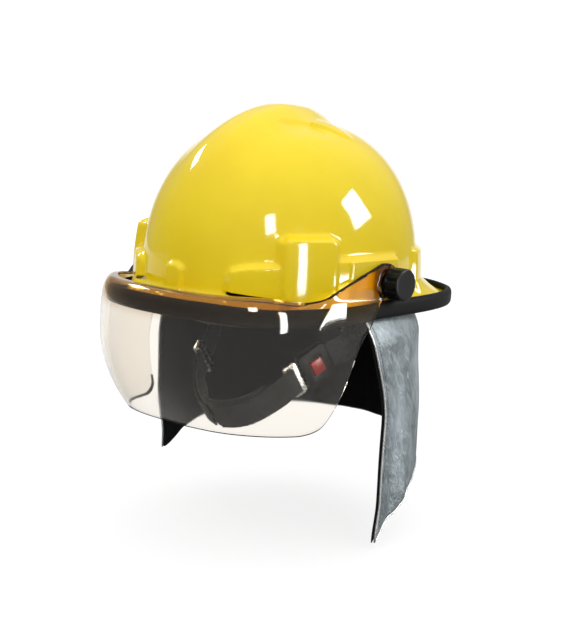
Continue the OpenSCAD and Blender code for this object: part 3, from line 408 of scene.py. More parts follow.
def cut(piece, boxes, holes):
    bm = bmesh.new()
    for place, size in boxes:
        bmesh.ops.create_cube(bm, size=0.001, matrix=place @ Matrix.Diagonal((*size, 1)))
    for place, radius, depth in holes:
        bmesh.ops.create_cone(bm, cap_ends=True, segments=48, radius1=radius / 1000,
                              radius2=radius / 1000, depth=depth / 1000, matrix=place)
    tool_mesh = bpy.data.meshes.new("cutter")
    bm.to_mesh(tool_mesh)
    bm.free()
    tool = bpy.data.objects.new("cutter", tool_mesh)
    bpy.context.collection.objects.link(tool)
    knife = piece.modifiers.new("cut", "BOOLEAN")
    knife.object, knife.operation, knife.solver = tool, "DIFFERENCE", "EXACT"
    settled(piece)
    bpy.data.objects.remove(tool)
    return shaded(piece, 35)


def fit(piece, finish, slot, body, *nodes):
    piece.data.materials.clear()
    piece.data.materials.append(finish)
    if nodes:
        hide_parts(*nodes)
    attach(piece, body)
    return piece


def dress(finish, **looks):
    """Sets or links the shader's sockets."""
    wire(finish.node_tree.nodes["Principled BSDF"], **looks)


def new_finish(name, code, **looks):
    """A material, what adds nodes to it, and the Object coordinates that patterns start from."""
    finish = bpy.data.materials.new(name)
    finish.use_nodes = True
    dress(finish, Base_Color=code, **looks)
    add = partial(add_node, finish.node_tree)
    return finish, add, add("TexCoord").outputs["Object"]


# Columns stand closer where the bosses' and seats' edges run, and rows where the crown bends.
half_turn = np.concatenate([np.arange(low, high, step) for low, high, step in (
    (0, 8, 0.5), (8, 19, 1), (19, 31, 0.6), (31, 37, 1), (37, 80, 0.6), (80, 94, 1), (94, 105, 0.6),
    (105, 118, 1), (118, 150, 0.6), (150, 180, 1))])
columns = np.concatenate([half_turn, [180], 360 - half_turn[:0:-1]])
rings = [with_ridge(dome_row(columns, t, 0))
         for t in np.concatenate([np.linspace(88, 60, 26), np.linspace(58, 27.5, 14)])]
rings += [wall_point(columns, mix(76, foot_height(columns) + 0.8, v), 0)
          for v in np.linspace(0, 1, 46)]
rings += [brim_point(columns, t, 0) for t in np.linspace(5, 90, 13)]
rings += [brim_lip(columns, 1), brim_lip(columns, -1)]
rings += [brim_point(columns, t, 1) for t in np.linspace(90, 30, 7)]
rings += [wall_point(columns, z, shell_wall) for z in np.linspace(2, 70, 18)]
rings += [with_ridge(dome_row(columns, t, shell_wall)) for t in np.linspace(28, 87, 18)]
shell = domed_piece("shell_moulding", rings)
slot_boxes, pivot_holes = [], []
for s in (-1, 1):
    x, y, z = polar(slot_at, dome_plan(slot_at, 0) + slot_out, slot_z) / 1000
    slot_boxes.append((Matrix.Translation((s * x, y, z))
                       @ Matrix.Rotation(s * math.radians(slot_turn), 4, "Z")
                       @ Matrix.Rotation(s * math.radians(slot_dip), 4, "Y"), slot_size))
    on_pivot = Matrix.Translation((s * seat_x / 1000, pivot_y / 1000, pivot_z / 1000))
    pivot_holes.append((on_pivot @ Matrix.Rotation(math.pi / 2, 4, "Y"), bolt_d / 2 + bolt_run, 30))
cut(shell, slot_boxes, pivot_holes)

# Injection-moulded ABS, dyed through: an even warm yellow under a hard wet gloss with crisp
# highlights, the faint orange peel of a large tool and a few places dulled by handling.
moulded_yellow, add, place = new_finish("moulded_yellow_abs", "#FBDF1B", Roughness=0.08, IOR=1.46,
                                        Specular_IOR_Level=0.35)
patches = add("TexNoise", Vector=place, Scale=14, Detail=5, Roughness=0.6)
tone = add("MapRange", patches, 0.35, 0.7)
shade = add("Mix", tone, "#FDE11C", "#F9D816", data_type="RGBA")
dull = add("MapRange", patches, 0.3, 0.75, 0.05, 0.1)
peel = add("TexNoise", Vector=place, Scale=420, Detail=2)
relief = add("Bump", Strength=0.03, Distance=0.0004, Height=peel)
dress(moulded_yellow, Base_Color=shade, Roughness=dull, Normal=relief)
fit(shell, moulded_yellow, "shell", "helmet", "shell")


# ---- Brim trim
# A black rubber channel pressed over the brim's lip all the way round, with a half-round outer
# face. Real ones are extruded and joined at the back, so it is one profile swept along the lip.
trim_profile = [(5, 7.75), (3.2, 7.7), (1.6, 7.1), (0.5, 5.6), (0, 3.2), (0, 0), (0, -3.2),
                (0.5, -5.6), (1.6, -7.1), (3.2, -7.7), (5, -7.75), (6, -6.75), (6, -2.3),
                (1.85, -1.65), (1.85, 1.65), (6, 2.3), (6, 6.75)]


def new_tree(name, **sockets):
    """A geometry tree with named inputs, what adds nodes to it, and what its inputs give."""
    tree = bpy.data.node_groups.new(name, "GeometryNodeTree")
    tree.interface.new_socket(name="Geometry", in_out="OUTPUT", socket_type="NodeSocketGeometry")
    for key, kind in {"Geometry": "Geometry", **sockets}.items():
        tree.interface.new_socket(name=key, in_out="INPUT", socket_type="NodeSocket" + kind)
    return tree, partial(add_node, tree), tree.nodes.new("NodeGroupInput").outputs


def close_tree(tree, geometry, finish):
    add = partial(add_node, tree)
    real = add("GeometryNodeRealizeInstances", geometry)
    soft = add("GeometryNodeSetShadeSmooth", Geometry=real)
    made = add("GeometryNodeSetMaterial", Geometry=soft, Material=finish)
    add("NodeGroupOutput", made)


def grown(piece, tree, **values):
    """The mesh that the tree makes of the piece."""
    maker = piece.modifiers.new("grow", "NODES")
    maker.node_group = tree
    for socket in tree.interface.items_tree:
        if socket.in_out == "INPUT" and socket.name in values:
            maker[socket.identifier] = values[socket.name]
    return settled(piece)


def path_piece(name, *lines, closed=False):
    edges, start = [], 0
    for line in lines:
        edges += [(start + k, start + k + 1) for k in range(len(line) - 1)]
        if closed:
            edges.append((start + len(line) - 1, start))
        start += len(line)
    points = np.concatenate([np.asarray(line, float) for line in lines])
    return new_piece(name, points, [], edges=edges)


along_lip, add, given = new_tree("profile_along_lip", Profile="Object", Rubber="Material")
spine = add("GeometryNodeMeshToCurve", given["Geometry"])
upright_spine = add("GeometryNodeSetCurveNormal", spine, mode="Z_UP")
section = add("GeometryNodeObjectInfo", Object=given["Profile"])
outline = add("GeometryNodeMeshToCurve", section.outputs["Geometry"])
swept = add("GeometryNodeCurveToMesh", upright_spine, outline)
close_tree(along_lip, swept, given["Rubber"])

# Extruded EPDM: near black, dull, with fine length-wise die lines and a bloom that greys it.
black_rubber, add, place = new_finish("extruded_epdm_rubber", "#101110", Roughness=0.6, IOR=1.45,
                                      Specular_IOR_Level=0.08)
bloom = add("TexNoise", Vector=place, Scale=60, Detail=6, Roughness=0.65)
grey = add("Mix", bloom, "#0B0C0B", "#171817", data_type="RGBA")
lines = add("Mapping", Vector=place, Scale=(60, 60, 2600))
die = add("TexNoise", Vector=lines, Scale=1, Detail=1)
relief = add("Bump", Strength=0.25, Distance=0.0002, Height=die)
dress(black_rubber, Base_Color=grey, Normal=relief)

lip_angles = np.arange(0, 360, 1.2)
lip_line = polar(lip_angles, brim_plan(lip_angles, 0), brim_height(lip_angles))
trim_section = path_piece("trim_section", [(-inset, -z, 0) for inset, z in trim_profile],
                          closed=True)
trim = path_piece("brim_trim", lip_line, closed=True)
grown(trim, along_lip, Profile=trim_section, Rubber=black_rubber)
bpy.data.objects.remove(trim_section)
fit(trim, black_rubber, "trim", "helmet", "edge_trim")


# ---- Visor
# One sheet of smoke-tinted polycarbonate, thermoformed: a shelf over the front brim, a bubble wall
# that clears the trim, and a flat ear on each side, with a formed stiffening ring round its pivot.
visor_t, visor_gap, visor_low, shelf_w, ear_r = 2.5, 2.5, 116, 15, 13
ear_x, ear_ring_out, ear_ring = seat_x + 1.25, 1.5, (18.2, 19.2, 1.7)
knee_z, knee_round = -26, 0.45
# The wall leans in towards the shelf above one depth, and tucks in below another.
lean_in, lean_above, lean_power = 3.6, 34, 2.4
tuck_in, tuck_below = 0.0052, 45
side_from, side_full = 47, 60
# Heights by angle: the shelf's and arm's top, the ear's top and the lower edge.
top_edge = ([0, 36, 44, 50, 54, 58, 62, 66, 70, 74, 78],
            [2.5, 2, -0.5, -2.5, 0, 4, 8, 11.5, 15, 18.3, 21.2])
ear_edge = ([78, 81, 84, 87, 90, 93, 95.5, 97.4, 98.6],
            [11.7, 13.7, 16, 18, 18.2, 16.4, 13.4, 10.3, 7])
foot_edge = ([0, 16, 33, 43, 51, 55, 58, 60.5, 63, 65.4, 67.8, 70.6, 73.5, 76.3, 78.8, 81.3],
             [0, -0.5, -3, -5, -6, -4.5, -2, 2, 15, 30, 51, 72, 82, 89, 98.5, 107.5])


def smoothed(x, table, reach):
    shares = (-1, -0.5, 0, 0.5, 1)
    return np.mean([np.interp(np.abs(x + reach * k), *table) for k in shares], axis=0)


def visor_wall(f, z, out):
    fall = np.maximum(0, -z - tuck_below)
    return brim_plan(f, -visor_gap - out) - tuck_in * fall ** 2 * mix(1, 0.5, rise(f, 40, 90))


def visor_side(f, z, out):
    to_wall = (1 - rise(f, 82, 87)) * rise(8 - z, 0, 10.5)
    return mix((ear_x + out) / max(0.6, sine(f)), visor_wall(f, z, out), to_wall)


def visor_top(f):
    if f <= 76.5:
        return smoothed(f, top_edge, 1.5)
    if f >= 79.5:
        return pivot_z + smoothed(f, ear_edge, 0.6)
    arm, ear = np.interp(f, *top_edge), pivot_z + np.interp(f, *ear_edge)
    return mix(arm, ear, float(rise(f, 76.5, 79.5)))


def visor_foot(f):
    if f <= 80:
        return smoothed(f, foot_edge, 1.2) - visor_low
    if f < 90:
        return mix(np.interp(f, *foot_edge) - visor_low, -3.3, rise(f, 80, 82))
    behind_pivot = ear_x * np.tan(np.radians(f - 90)) - pivot_y
    return pivot_z - np.sqrt(max(6, ear_r ** 2 - behind_pivot ** 2))


def visor_section(a, out):
    """One face of the sheet at one angle: shelf and knee in front, arm and ear at the side."""
    f = abs(a)
    top, foot = visor_top(f), visor_foot(f)
    side = rise(f, side_from, side_full)
    knee = mix(knee_z, max(-4, foot + 0.3 * (top - foot)), side)
    shelf_in = visor_wall(f, knee_z, visor_t) - shelf_w
    rows = []
    for t in np.linspace(0, 90, 25):
        z = mix(knee_z, top - visor_t + out, cosine(t) ** knee_round)
        lean = lean_in * (max(0, z + lean_above) / lean_above) ** lean_power
        shelf = mix(shelf_in, visor_wall(f, knee_z, out) - lean, sine(t) ** knee_round)
        z = mix(z, mix(top, knee, t / 90), side)
        rows.append((mix(shelf, visor_side(f, z, out), side), z))
    for v in np.append(np.linspace(0, 1, 16)[1:-1], [0.988, 1]):
        z = mix(knee, foot, v)
        rows.append((mix(visor_wall(f, z, out), visor_side(f, z, out), side), z))
    points = [polar(a, r, z) for r, z in rows]
    for p in points:
        ring = bump(math.hypot(p[1] - pivot_y, p[2] - pivot_z), *ear_ring)
        p[0] += np.sign(p[0]) * ear_ring_out * ring * rise(f, 70, 78)
    return points


visor_half = np.concatenate([np.arange(1, 54, 2.0), np.arange(54, 72, 0.7),
                             np.arange(72, 98.4, 0.45), [98.6]])
visor_points = []
for a in np.concatenate([-visor_half[::-1], visor_half]):
    visor_points += visor_section(a, visor_t) + visor_section(a, 0)[::-1]
visor_n = len(visor_half) * 2
around = len(visor_points) // visor_n
visor_faces = [q[::-1] for q in loop_faces(visor_n, around)]
for end, turn in ((0, 1), ((visor_n - 1) * around, -1)):
    visor_faces += [(end + j, end + j + 1, end + around - 2 - j, end + around - 1 - j)[::turn]
                    for j in range(around // 2 - 1)]
visor = new_piece("visor_sheet", visor_points, visor_faces)
cut(visor, [], pivot_holes)

# Thermoformed polycarbonate with a brown smoke tint: clear enough to see the lining behind it, more
# amber over the shelf and along the top edge than on the wall below, with the faint haze of wiping.
# The tint is painted lighter over the arms, as painted light for the light that the sheet keeps
# from the shell behind it, and a darker brown over the ears, partly as painted shade round the
# pivots. Its cut edge, where one looks down the length of the dyed sheet, is nearly black.
smoke_polycarbonate, add, place = new_finish("smoke_tinted_polycarbonate", "#DFD2B8",
                                             Roughness=0.04, IOR=1.36, Transmission_Weight=1.0)
_, back, height = add("SeparateXYZ", place).outputs
arm, ear, thick = [
    add("MapRange", along, low, high, interpolation_type="SMOOTHSTEP")
    for along, low, high in ((back, -0.115, -0.08), (back, -0.024, -0.01),
                             (height, -0.026, -0.006))]
# Painted light: the lighter amber over the arms stands in for light that the sheet keeps from the
# shell behind it.
amber_lightened_as_painted_light = add("Mix", arm, "#B0883C", "#D0B478", data_type="RGBA")
# Painted shade, in part: the darker brown over the ears stands in for shade round the pivots.
brown_with_painted_shade = add("Mix", ear, amber_lightened_as_painted_light, "#8C6A36", data_type="RGBA")
tint_and_painted_light = add("Mix", thick, "#F7F2EA", brown_with_painted_shade, data_type="RGBA")
wipes = add("TexNoise", Vector=place, Scale=18, Detail=8, Roughness=0.7)
haze = add("MapRange", wipes, 0.4, 0.8, 0.02, 0.09)
dress(smoke_polycarbonate, Base_Color=tint_and_painted_light, Roughness=haze)
cut_edge = new_finish("cut_edge_of_smoke_polycarbonate", "#100905", Roughness=0.5, IOR=1.4,
                      Specular_IOR_Level=0.1)[0]
fit(visor, smoke_polycarbonate, "visor", "visor", "visor")
visor.data.materials.append(cut_edge)
for face in visor.data.polygons:
    x, y, z = face.center * 1000
    f = math.degrees(math.atan2(abs(x), -y))
    outward = face.normal.x * x + face.normal.y * y > 0.2 * math.hypot(x, y)
    on_foot = z < smoothed(f, foot_edge, 1.2) - visor_low + 0.3 + 0.5 * outward
    on_top = z > visor_top(f) - mix(0.8, 1.5, rise(f, 50, 60))
    if 48 < f < 92 and on_top or f < 62 and on_foot:
        face.material_index = 1


# ---- Visor knobs and pivots
# Moulded black nylon knobs with broad flutes clamp the visor on steel bolts through the shell, with
# a fibre washer against the shell and a steel washer under each knob. The flutes follow one rule.
knob_r, knob_depth, knob_flutes, flute_depth, knob_edge = 14.5, 15, 10, 1.2, 1.6
washer_t, washer_r = 1.2, 11.5
knob_foot = ear_x + visor_t + washer_t + 0.05

# In metres from the knob's face: where the flutes start above its foot, and where they fade out.
flutes_start, flutes_end = (0.0136, 0.0122), (0.0014, 0.0032)
fluted, add, given = new_tree("fluted_knob", Radius="Float", Depth="Float", Flutes="Float",
                              Flute_depth="Float", Edge="Float", Plastic="Material")
blank = add("GeometryNodeMeshCylinder", Vertices=160, Side_Segments=30, Fill_Segments=14,
            Radius=given["Radius"], Depth=given["Depth"], fill_type="TRIANGLE_FAN")
spot = add("GeometryNodeInputPosition")
x, y, z = add("SeparateXYZ", spot).outputs
turn = add("Math", y, x, operation="ARCTAN2")
times = add("Math", turn, given["Flutes"], operation="MULTIPLY")
wave = add("Math", times, operation="COSINE")
scallop = add("MapRange", wave, -0.15, 1.0, 0.0, given["Flute_depth"],
              interpolation_type="SMOOTHSTEP")
half_deep = add("Math", given["Depth"], 0.5, operation="MULTIPLY")
to_face = add("Math", half_deep, z, operation="SUBTRACT")
near_face = add("MapRange", to_face, given["Edge"], 0.0, 0.0, 1.0)
square = add("Math", near_face, 2.0, operation="POWER")
rest = add("Math", 1.0, square, operation="SUBTRACT")
root = add("Math", rest, operation="SQRT")
rounded = add("Math", 1.0, root, operation="SUBTRACT")
edge_in = add("Math", rounded, given["Edge"], operation="MULTIPLY")
above_foot, behind_rim = [
    add("MapRange", to_face, low, high, 0.0, 1.0, interpolation_type="SMOOTHSTEP")
    for low, high in (flutes_start, flutes_end)]
fluted_part = add("Math", above_foot, behind_rim, operation="MULTIPLY")
fluted_in = add("Math", scallop, fluted_part, operation="MULTIPLY")
both_in = add("Math", fluted_in, edge_in, operation="ADD")
share = add("Math", both_in, given["Radius"], operation="DIVIDE")
scale = add("Math", 1.0, share, operation="SUBTRACT")
x_in, y_in = [add("Math", way, scale, operation="MULTIPLY") for way in (x, y)]
moved = add("CombineXYZ", x_in, y_in, z)
shaped = add("GeometryNodeSetPosition", Geometry=blank, Position=moved)
close_tree(fluted, shaped, given["Plastic"])

# Glass-filled nylon from a spark-eroded tool: black, fine-grained, with a soft wide sheen.
black_nylon, add, place = new_finish("moulded_black_nylon", "#0F1010", Roughness=0.36, IOR=1.45,
                                     Specular_IOR_Level=0.15)
grain = add("TexNoise", Vector=place, Scale=1400, Detail=3, Roughness=0.6)
relief = add("Bump", Strength=0.2, Distance=0.0002, Height=grain)
worn = add("TexNoise", Vector=place, Scale=90, Detail=4)
rubbed = add("Mix", worn, "#0B0C0C", "#1A1B1A", data_type="RGBA")
dress(black_nylon, Base_Color=rubbed, Normal=relief)

# Zinc-plated steel: bright grey with the fine turned lines of a pressed washer or a formed head.
plated_steel, add, place = new_finish("zinc_plated_steel", "#B9BCBF", Roughness=0.3, Metallic=1.0)
bright = add("TexNoise", Vector=place, Scale=700, Detail=3)
brushed = add("MapRange", bright, 0.3, 0.7, 0.2, 0.42)
dress(plated_steel, Roughness=brushed)

# Pressed vulcanised fibre: a dull brownish black with a faint mottle.
black_fibre, add, place = new_finish("pressed_black_fibre", "#241F1C", Roughness=0.7)
mottle = add("TexNoise", Vector=place, Scale=300, Detail=5)
tones = add("Mix", mottle, "#1B1715", "#332C28", data_type="RGBA")
dress(black_fibre, Base_Color=tones)


def lathed(name, outline, sides, steps=64):
    """Turns an outline of (distance from the middle, radius) about the pivots' axis."""
    points, faces = [], []
    tube = outline[0] != outline[-1] and min(r for _, r in outline) > 0.1
    for s in sides:
        first = len(points)
        for out, r in outline:
            r = max(r, 1e-4)
            points += [(s * out, pivot_y + r * cosine(t), pivot_z + r * sine(t) * s)
                       for t in np.arange(0, 360, 360 / steps)]
        faces += [tuple(first + k for k in q) for q in loop_faces(len(outline), steps, tube)]
    piece = new_piece(name, points, faces)
    piece.data.set_sharp_from_angle(angle=math.radians(40))
    return piece


bolt_in, bolt_tip, head_r = seat_x - shell_wall - 0.6, knob_foot + knob_depth - 6, bolt_d * 1.4
bolt_outline = [(bolt_in - 2.6, 0), (bolt_in - 2.6, head_r - 1.4), (bolt_in - 2.2, head_r - 0.5),
                (bolt_in - 1.2, head_r), (bolt_in, head_r), (bolt_in, bolt_d / 2),
                (bolt_tip, bolt_d / 2), (bolt_tip + 0.6, bolt_d / 2 - 0.6), (bolt_tip + 0.6, 0)]
for s, side in ((1, "left"), (-1, "right")):
    knob = grown(new_piece("knob_moulding_" + side, [(0, 0, 0)], []), fluted,
                 Radius=knob_r / 1000, Depth=knob_depth / 1000, Flutes=float(knob_flutes),
                 Flute_depth=flute_depth / 1000, Edge=knob_edge / 1000, Plastic=black_nylon)
    middle = (s * (knob_foot + knob_depth / 2) / 1000, pivot_y / 1000, pivot_z / 1000)
    knob.data.transform(Matrix.Translation(middle) @ Matrix.Rotation(s * math.pi / 2, 4, "Y"))
    knob.data.set_sharp_from_angle(angle=math.radians(50))
    fit(knob, black_nylon, "knob", "visor_knob_" + side, "visor_knob_" + side)
    fit(lathed("bolt_" + side, bolt_outline, [s]), plated_steel, "steel", "helmet",
        "pivot_bolt_" + side)
for name, node, foot, finish, slot in (
        ("fibre_washers", "friction_washers", seat_x, black_fibre, "fibre"),
        ("steel_washers", "knob_washers", ear_x + visor_t, plated_steel, "steel")):
    hole, top = bolt_d / 2 + bolt_run, foot + washer_t
    ring = [(foot, hole), (top, hole), (top, washer_r - 0.3), (top - 0.3, washer_r),
            (foot, washer_r)]
    fit(lathed(name, ring, (-1, 1)), finish, slot, "helmet", node)


# ---- Liner
# The impact liner is one moulding of rigid polyurethane foam that follows the inside of the dome
# and sits a hair off it. Its skin is smooth, with a fine pebbled texture.
liner_t, liner_rim, liner_gap = 17, 16, 0.8
liner_out, liner_in = shell_wall + liner_gap, shell_wall + liner_gap + liner_t
liner_turn = np.arange(0, 360, 4.0)


def liner_wall(z, inset):
    return polar(liner_turn, dome_reach(liner_turn, z, inset), z)


crown = np.concatenate([np.linspace(88, 60, 10), np.linspace(56, 30, 7)])
rim_top = liner_rim + 3
rings = [dome_row(liner_turn, t, liner_out) for t in crown]
rings += [liner_wall(z, liner_out) for z in np.linspace(58, rim_top, 10)]
rings += [liner_wall(rim_top - 3 * sine(t), liner_out + liner_t / 2 - liner_t / 2 * cosine(t))
          for t in np.linspace(15, 165, 6)]
rings += [liner_wall(z, liner_in) for z in np.linspace(rim_top, 58, 10)]
rings += [dome_row(liner_turn, t, liner_in) for t in crown[::-1]]
liner = domed_piece("liner_foam", rings)

# Rigid moulded foam: a dark grey-green, matt skin with closed cells that show as fine pebbles.
rigid_foam, add, place = new_finish("moulded_rigid_foam", "#4A5049", Roughness=0.85)
cells = add("TexVoronoi", Vector=place, Scale=420)
relief = add("Bump", Strength=0.4, Distance=0.0006, Height=cells, invert=True)
clouds = add("TexNoise", Vector=place, Scale=30, Detail=4)
tones = add("Mix", clouds, "#3E443E", "#565C54", data_type="RGBA")
dress(rigid_foam, Base_Color=tones, Normal=relief)
fit(liner, rigid_foam, "foam", "helmet", "impact_liner")


# ---- Headband
# The headband is a strip of moulded polyethylene, longer at the front than the round nape. Its ends
# stop at the ratchet housing. Every other part of the suspension follows its plan.
band_r, band_front, band_y, band_z, band_h, band_t = 80, 118, 18, -20, 30, 2
housing_half = 34


def on_band(a, out, z):
    return polar(a, plan(a, band_front + out, band_r + out, band_r + out, 2), z) + [0, band_y, 0]


def strip(name, sections):
    """Skins sections in order, closes both ends, and lays the surface out flat for a weave."""
    sections = np.asarray(sections, float)
    n, m = sections.shape[:2]
    faces = [q[::-1] for q in loop_faces(n, m)]
    faces += [tuple(range(m)), tuple(range(n * m - 1, n * m - m - 1, -1))]
    steps = np.diff(sections, axis=1, prepend=sections[:, :1])
    girth = np.cumsum(np.linalg.norm(steps, axis=2), axis=1)
    steps = np.diff(sections.mean(1), axis=0, prepend=sections.mean(1)[:1])
    along = np.cumsum(np.linalg.norm(steps, axis=1))
    across = np.stack([girth, np.repeat(along[:, None], m, 1)], -1).reshape(-1, 2)
    return new_piece(name, sections.reshape(-1, 3), faces, across=across)


band_end = 180 - housing_half - 2
band_outline = [(band_t, -0.42), (band_t, 0.47), (band_t * 0.7, 0.5), (band_t * 0.3, 0.5),
                (0, 0.47), (0, -0.47), (band_t * 0.3, -0.5), (band_t * 0.7, -0.5),
                (band_t, -0.47)]
band = strip("headband_strip", [[on_band(a, out, band_z + band_h * high)
                                 for out, high in band_outline[::-1]]
                                for a in np.linspace(-band_end, band_end, 181)])

# Moulded polyethylene: soft black, waxy, with a wide dull highlight and faint flow marks.
black_polyethylene, add, place = new_finish("moulded_black_polyethylene", "#202022", Roughness=0.42,
                                            IOR=1.51)
drawn = add("Mapping", Vector=place, Scale=(40, 40, 9))
flow = add("TexNoise", Vector=drawn, Scale=1, Detail=4)
waxy = add("MapRange", flow, 0.3, 0.7, 0.34, 0.52)
skin_grain = add("TexNoise", Vector=place, Scale=900, Detail=2)
relief = add("Bump", Strength=0.2, Distance=0.0002, Height=skin_grain)
dress(black_polyethylene, Roughness=waxy, Normal=relief)
fit(band, black_polyethylene, "band", "helmet", "headband")


# ---- Cradle
# Three polyester webbing straps cross over the crown and end at six moulded keys, which tie them
# and the headband to the rim inside the shell. A round padded disc hangs under the crossing.
cradle_w, cradle_t, cradle_h, cradle_power, cradle_stack = 20, 1.5, 116, 2 / 2.3, 2.6
cradle_foot, nape_foot = band_z + band_h / 2 - 6, 6.0625
cradle_out = band_t + 0.3 + cradle_t / 2 + 5.8


def band_from_middle(a, out):
    """The headband's reach at an angle, from the helmet's middle and not the band's own."""
    longer = band_front + out if cosine(a) * band_r > -band_y else band_r + out
    qa = (sine(a) / (band_r + out)) ** 2 + (cosine(a) / longer) ** 2
    qb, qc = 2 * band_y * cosine(a) / longer ** 2, (band_y / longer) ** 2 - 1
    return (-qb + math.sqrt(qb * qb - 4 * qa * qc)) / (2 * qa)


def eased(rows, repeats):
    """A smooth curve through the rows, with repeats steps between each two."""
    rows = np.asarray(rows, float)
    ends = np.concatenate([[2 * rows[0] - rows[1]], rows, [2 * rows[-1] - rows[-2]]])
    out = []
    for i in range(len(rows) - 1):
        p0, p1, p2, p3 = ends[i:i + 4]
        for t in np.arange(repeats) / repeats:
            out.append(0.5 * (2 * p1 + (p2 - p0) * t + (2 * p0 - 5 * p1 + 4 * p2 - p3) * t ** 2
                              + (3 * p1 - p0 - 3 * p2 + p3) * t ** 3))
    return np.array(out + [rows[-1]])


def webbing(name, centres, sides, normals, repeats):
    """Sweeps a flat section with rounded edges; sides and normals are half width and thickness."""
    lines = [eased(rows, repeats) for rows in (centres, sides, normals)]
    section = [(-1, -0.4), (-1, 0.4), (-0.96, 0.9), (-0.5, 1), (0, 1), (0.5, 1), (0.96, 0.9),
               (1, 0.4), (1, -0.4), (0.96, -0.9), (0.5, -1), (0, -1), (-0.5, -1), (-0.96, -0.9)]
    rows = [[c + s * u + n * v for u, v in section] for c, s, n in zip(*lines)]
    return strip(name, rows), lines


cradle_lines, cradle_pieces = [], []
for k, (name, a) in enumerate((("middle", 0), ("left", 52), ("right", 128))):
    centres = []
    for end, turns in ((a, np.linspace(0, 88, 24)), (a + 180, np.linspace(88, 0, 24))):
        foot = nape_foot if end == 180 else cradle_foot
        for t in turns:
            r = band_from_middle(end, cradle_out) * cosine(t) ** cradle_power
            z = mix(foot, cradle_h + k * cradle_stack, sine(t) ** cradle_power)
            centres.append(polar(end, r, z))
    centres = np.array(centres)
    side = np.array([cosine(a), sine(a), 0]) * cradle_w / 2
    normals = np.cross(side, np.gradient(centres, axis=0))
    normals *= cradle_t / 2 / np.linalg.norm(normals, axis=1, keepdims=True)
    sides = np.repeat(side[None], len(centres), 0)
    strap, lines = webbing("cradle_webbing_" + name, centres, sides, normals, 1)
    cradle_pieces.append((strap, "cradle_strap_" + name))
    cradle_lines.append(lines)

# Woven polyester webbing: black, dull, with cross ribs about 1.2 mm apart and a soft fuzz that
# catches light at the edges. The ribs are drawn at 1.7 mm so that they show.
rib_pitch, zigzag_pitch = 0.0017, 0.0034
woven_webbing, add, _ = new_finish("woven_black_polyester", "#111112", Roughness=0.78,
                                   Sheen_Weight=0.08, Sheen_Roughness=0.4)
across, along, _ = add("SeparateXYZ", add("UVMap", uv_map="cloth")).outputs
turns_across, turns_along = [
    add("Math", way, 2 * math.pi / pitch, operation="MULTIPLY")
    for way, pitch in ((across, zigzag_pitch), (along, rib_pitch))]
zigzag = add("Math", turns_across, operation="SINE")
slant = add("Math", turns_along, zigzag, operation="ADD")
ribs = add("Math", slant, operation="SINE")
relief = add("Bump", Strength=0.6, Distance=0.0003, Height=ribs)
# Painted light and shade: the ribs' crests are painted lighter and their grooves darker.
rib_light_and_shade = add("MapRange", ribs, -1.0, 1.0)
tones = add("Mix", rib_light_and_shade, "#0E0E0F", "#242426", data_type="RGBA")
dress(woven_webbing, Base_Color=tones, Normal=relief)
for strap, node in cradle_pieces:
    fit(strap, woven_webbing, "webbing", "helmet", node)


def dressed(node, name, bevel, angle=35):
    """A copy of a CAD solid with its loose triangles merged and its edges rounded as moulded."""
    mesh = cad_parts[node].data.copy()
    bm = bmesh.new()
    bm.from_mesh(mesh)
    bmesh.ops.remove_doubles(bm, verts=bm.verts, dist=0.000002)
    bmesh.ops.dissolve_limit(bm, angle_limit=math.radians(0.6), verts=bm.verts, edges=bm.edges)
    bm.to_mesh(mesh)
    bm.free()
    mesh.name = name
    piece = bpy.data.objects.new(name, mesh)
    bpy.context.collection.objects.link(piece)
    edge = piece.modifiers.new("edge", "BEVEL")
    edge.width, edge.segments, edge.angle_limit = bevel / 1000, 2, math.radians(angle)
    edge.use_clamp_overlap = True
    return shaded(settled(piece), angle)


# Injection-moulded acetal: dark grey, smooth and slightly greasy in its sheen.
grey_acetal, add, place = new_finish("moulded_grey_acetal", "#4A4B4D", Roughness=0.35, IOR=1.48)
swirl = add("TexNoise", Vector=place, Scale=120, Detail=4, Distortion=0.6)
tones = add("Mix", swirl, "#424345", "#545557", data_type="RGBA")
relief = add("Bump", Strength=0.15, Distance=0.0002, Height=swirl)
dress(grey_acetal, Base_Color=tones, Normal=relief)
fit(dressed("suspension_keys", "moulded_keys", 0.6), grey_acetal, "key", "helmet",
    "suspension_keys")


# ---- Comfort pads
# Brow, nape and crown pads are soft foam in black knitted covers, welded or sewn round their edges
# and pressed onto the headband, the ratchet housing and the cradle. A short cloth simulation
# blows each cover up, as its foam would fill it.
brow_t = 5
# The crown pad's profile: radius, and depth below its top.
crown_profile = [(2, 0), (12, 0), (22, 0), (32, 0), (39, 0), (41.2, 1.6), (41.2, 3.6), (38, 5.2),
                 (29, 5.2), (19, 5.2), (9, 5.2), (2, 5.2)]
# A band pad's profile: share of its thickness, and share of half its height.
pad_profile = [(0, 0.9), (0, 0.45), (0, 0), (0, -0.45), (0, -0.9), (0.25, -0.97), (0.6, -0.99),
               (0.9, -0.85), (1, -0.5), (1, 0), (1, 0.5), (0.9, 0.85), (0.6, 0.99), (0.25, 0.97)]
cover_pressure, cover_stretch, cover_bend, cover_frames = 4.0, 25, 2, 20


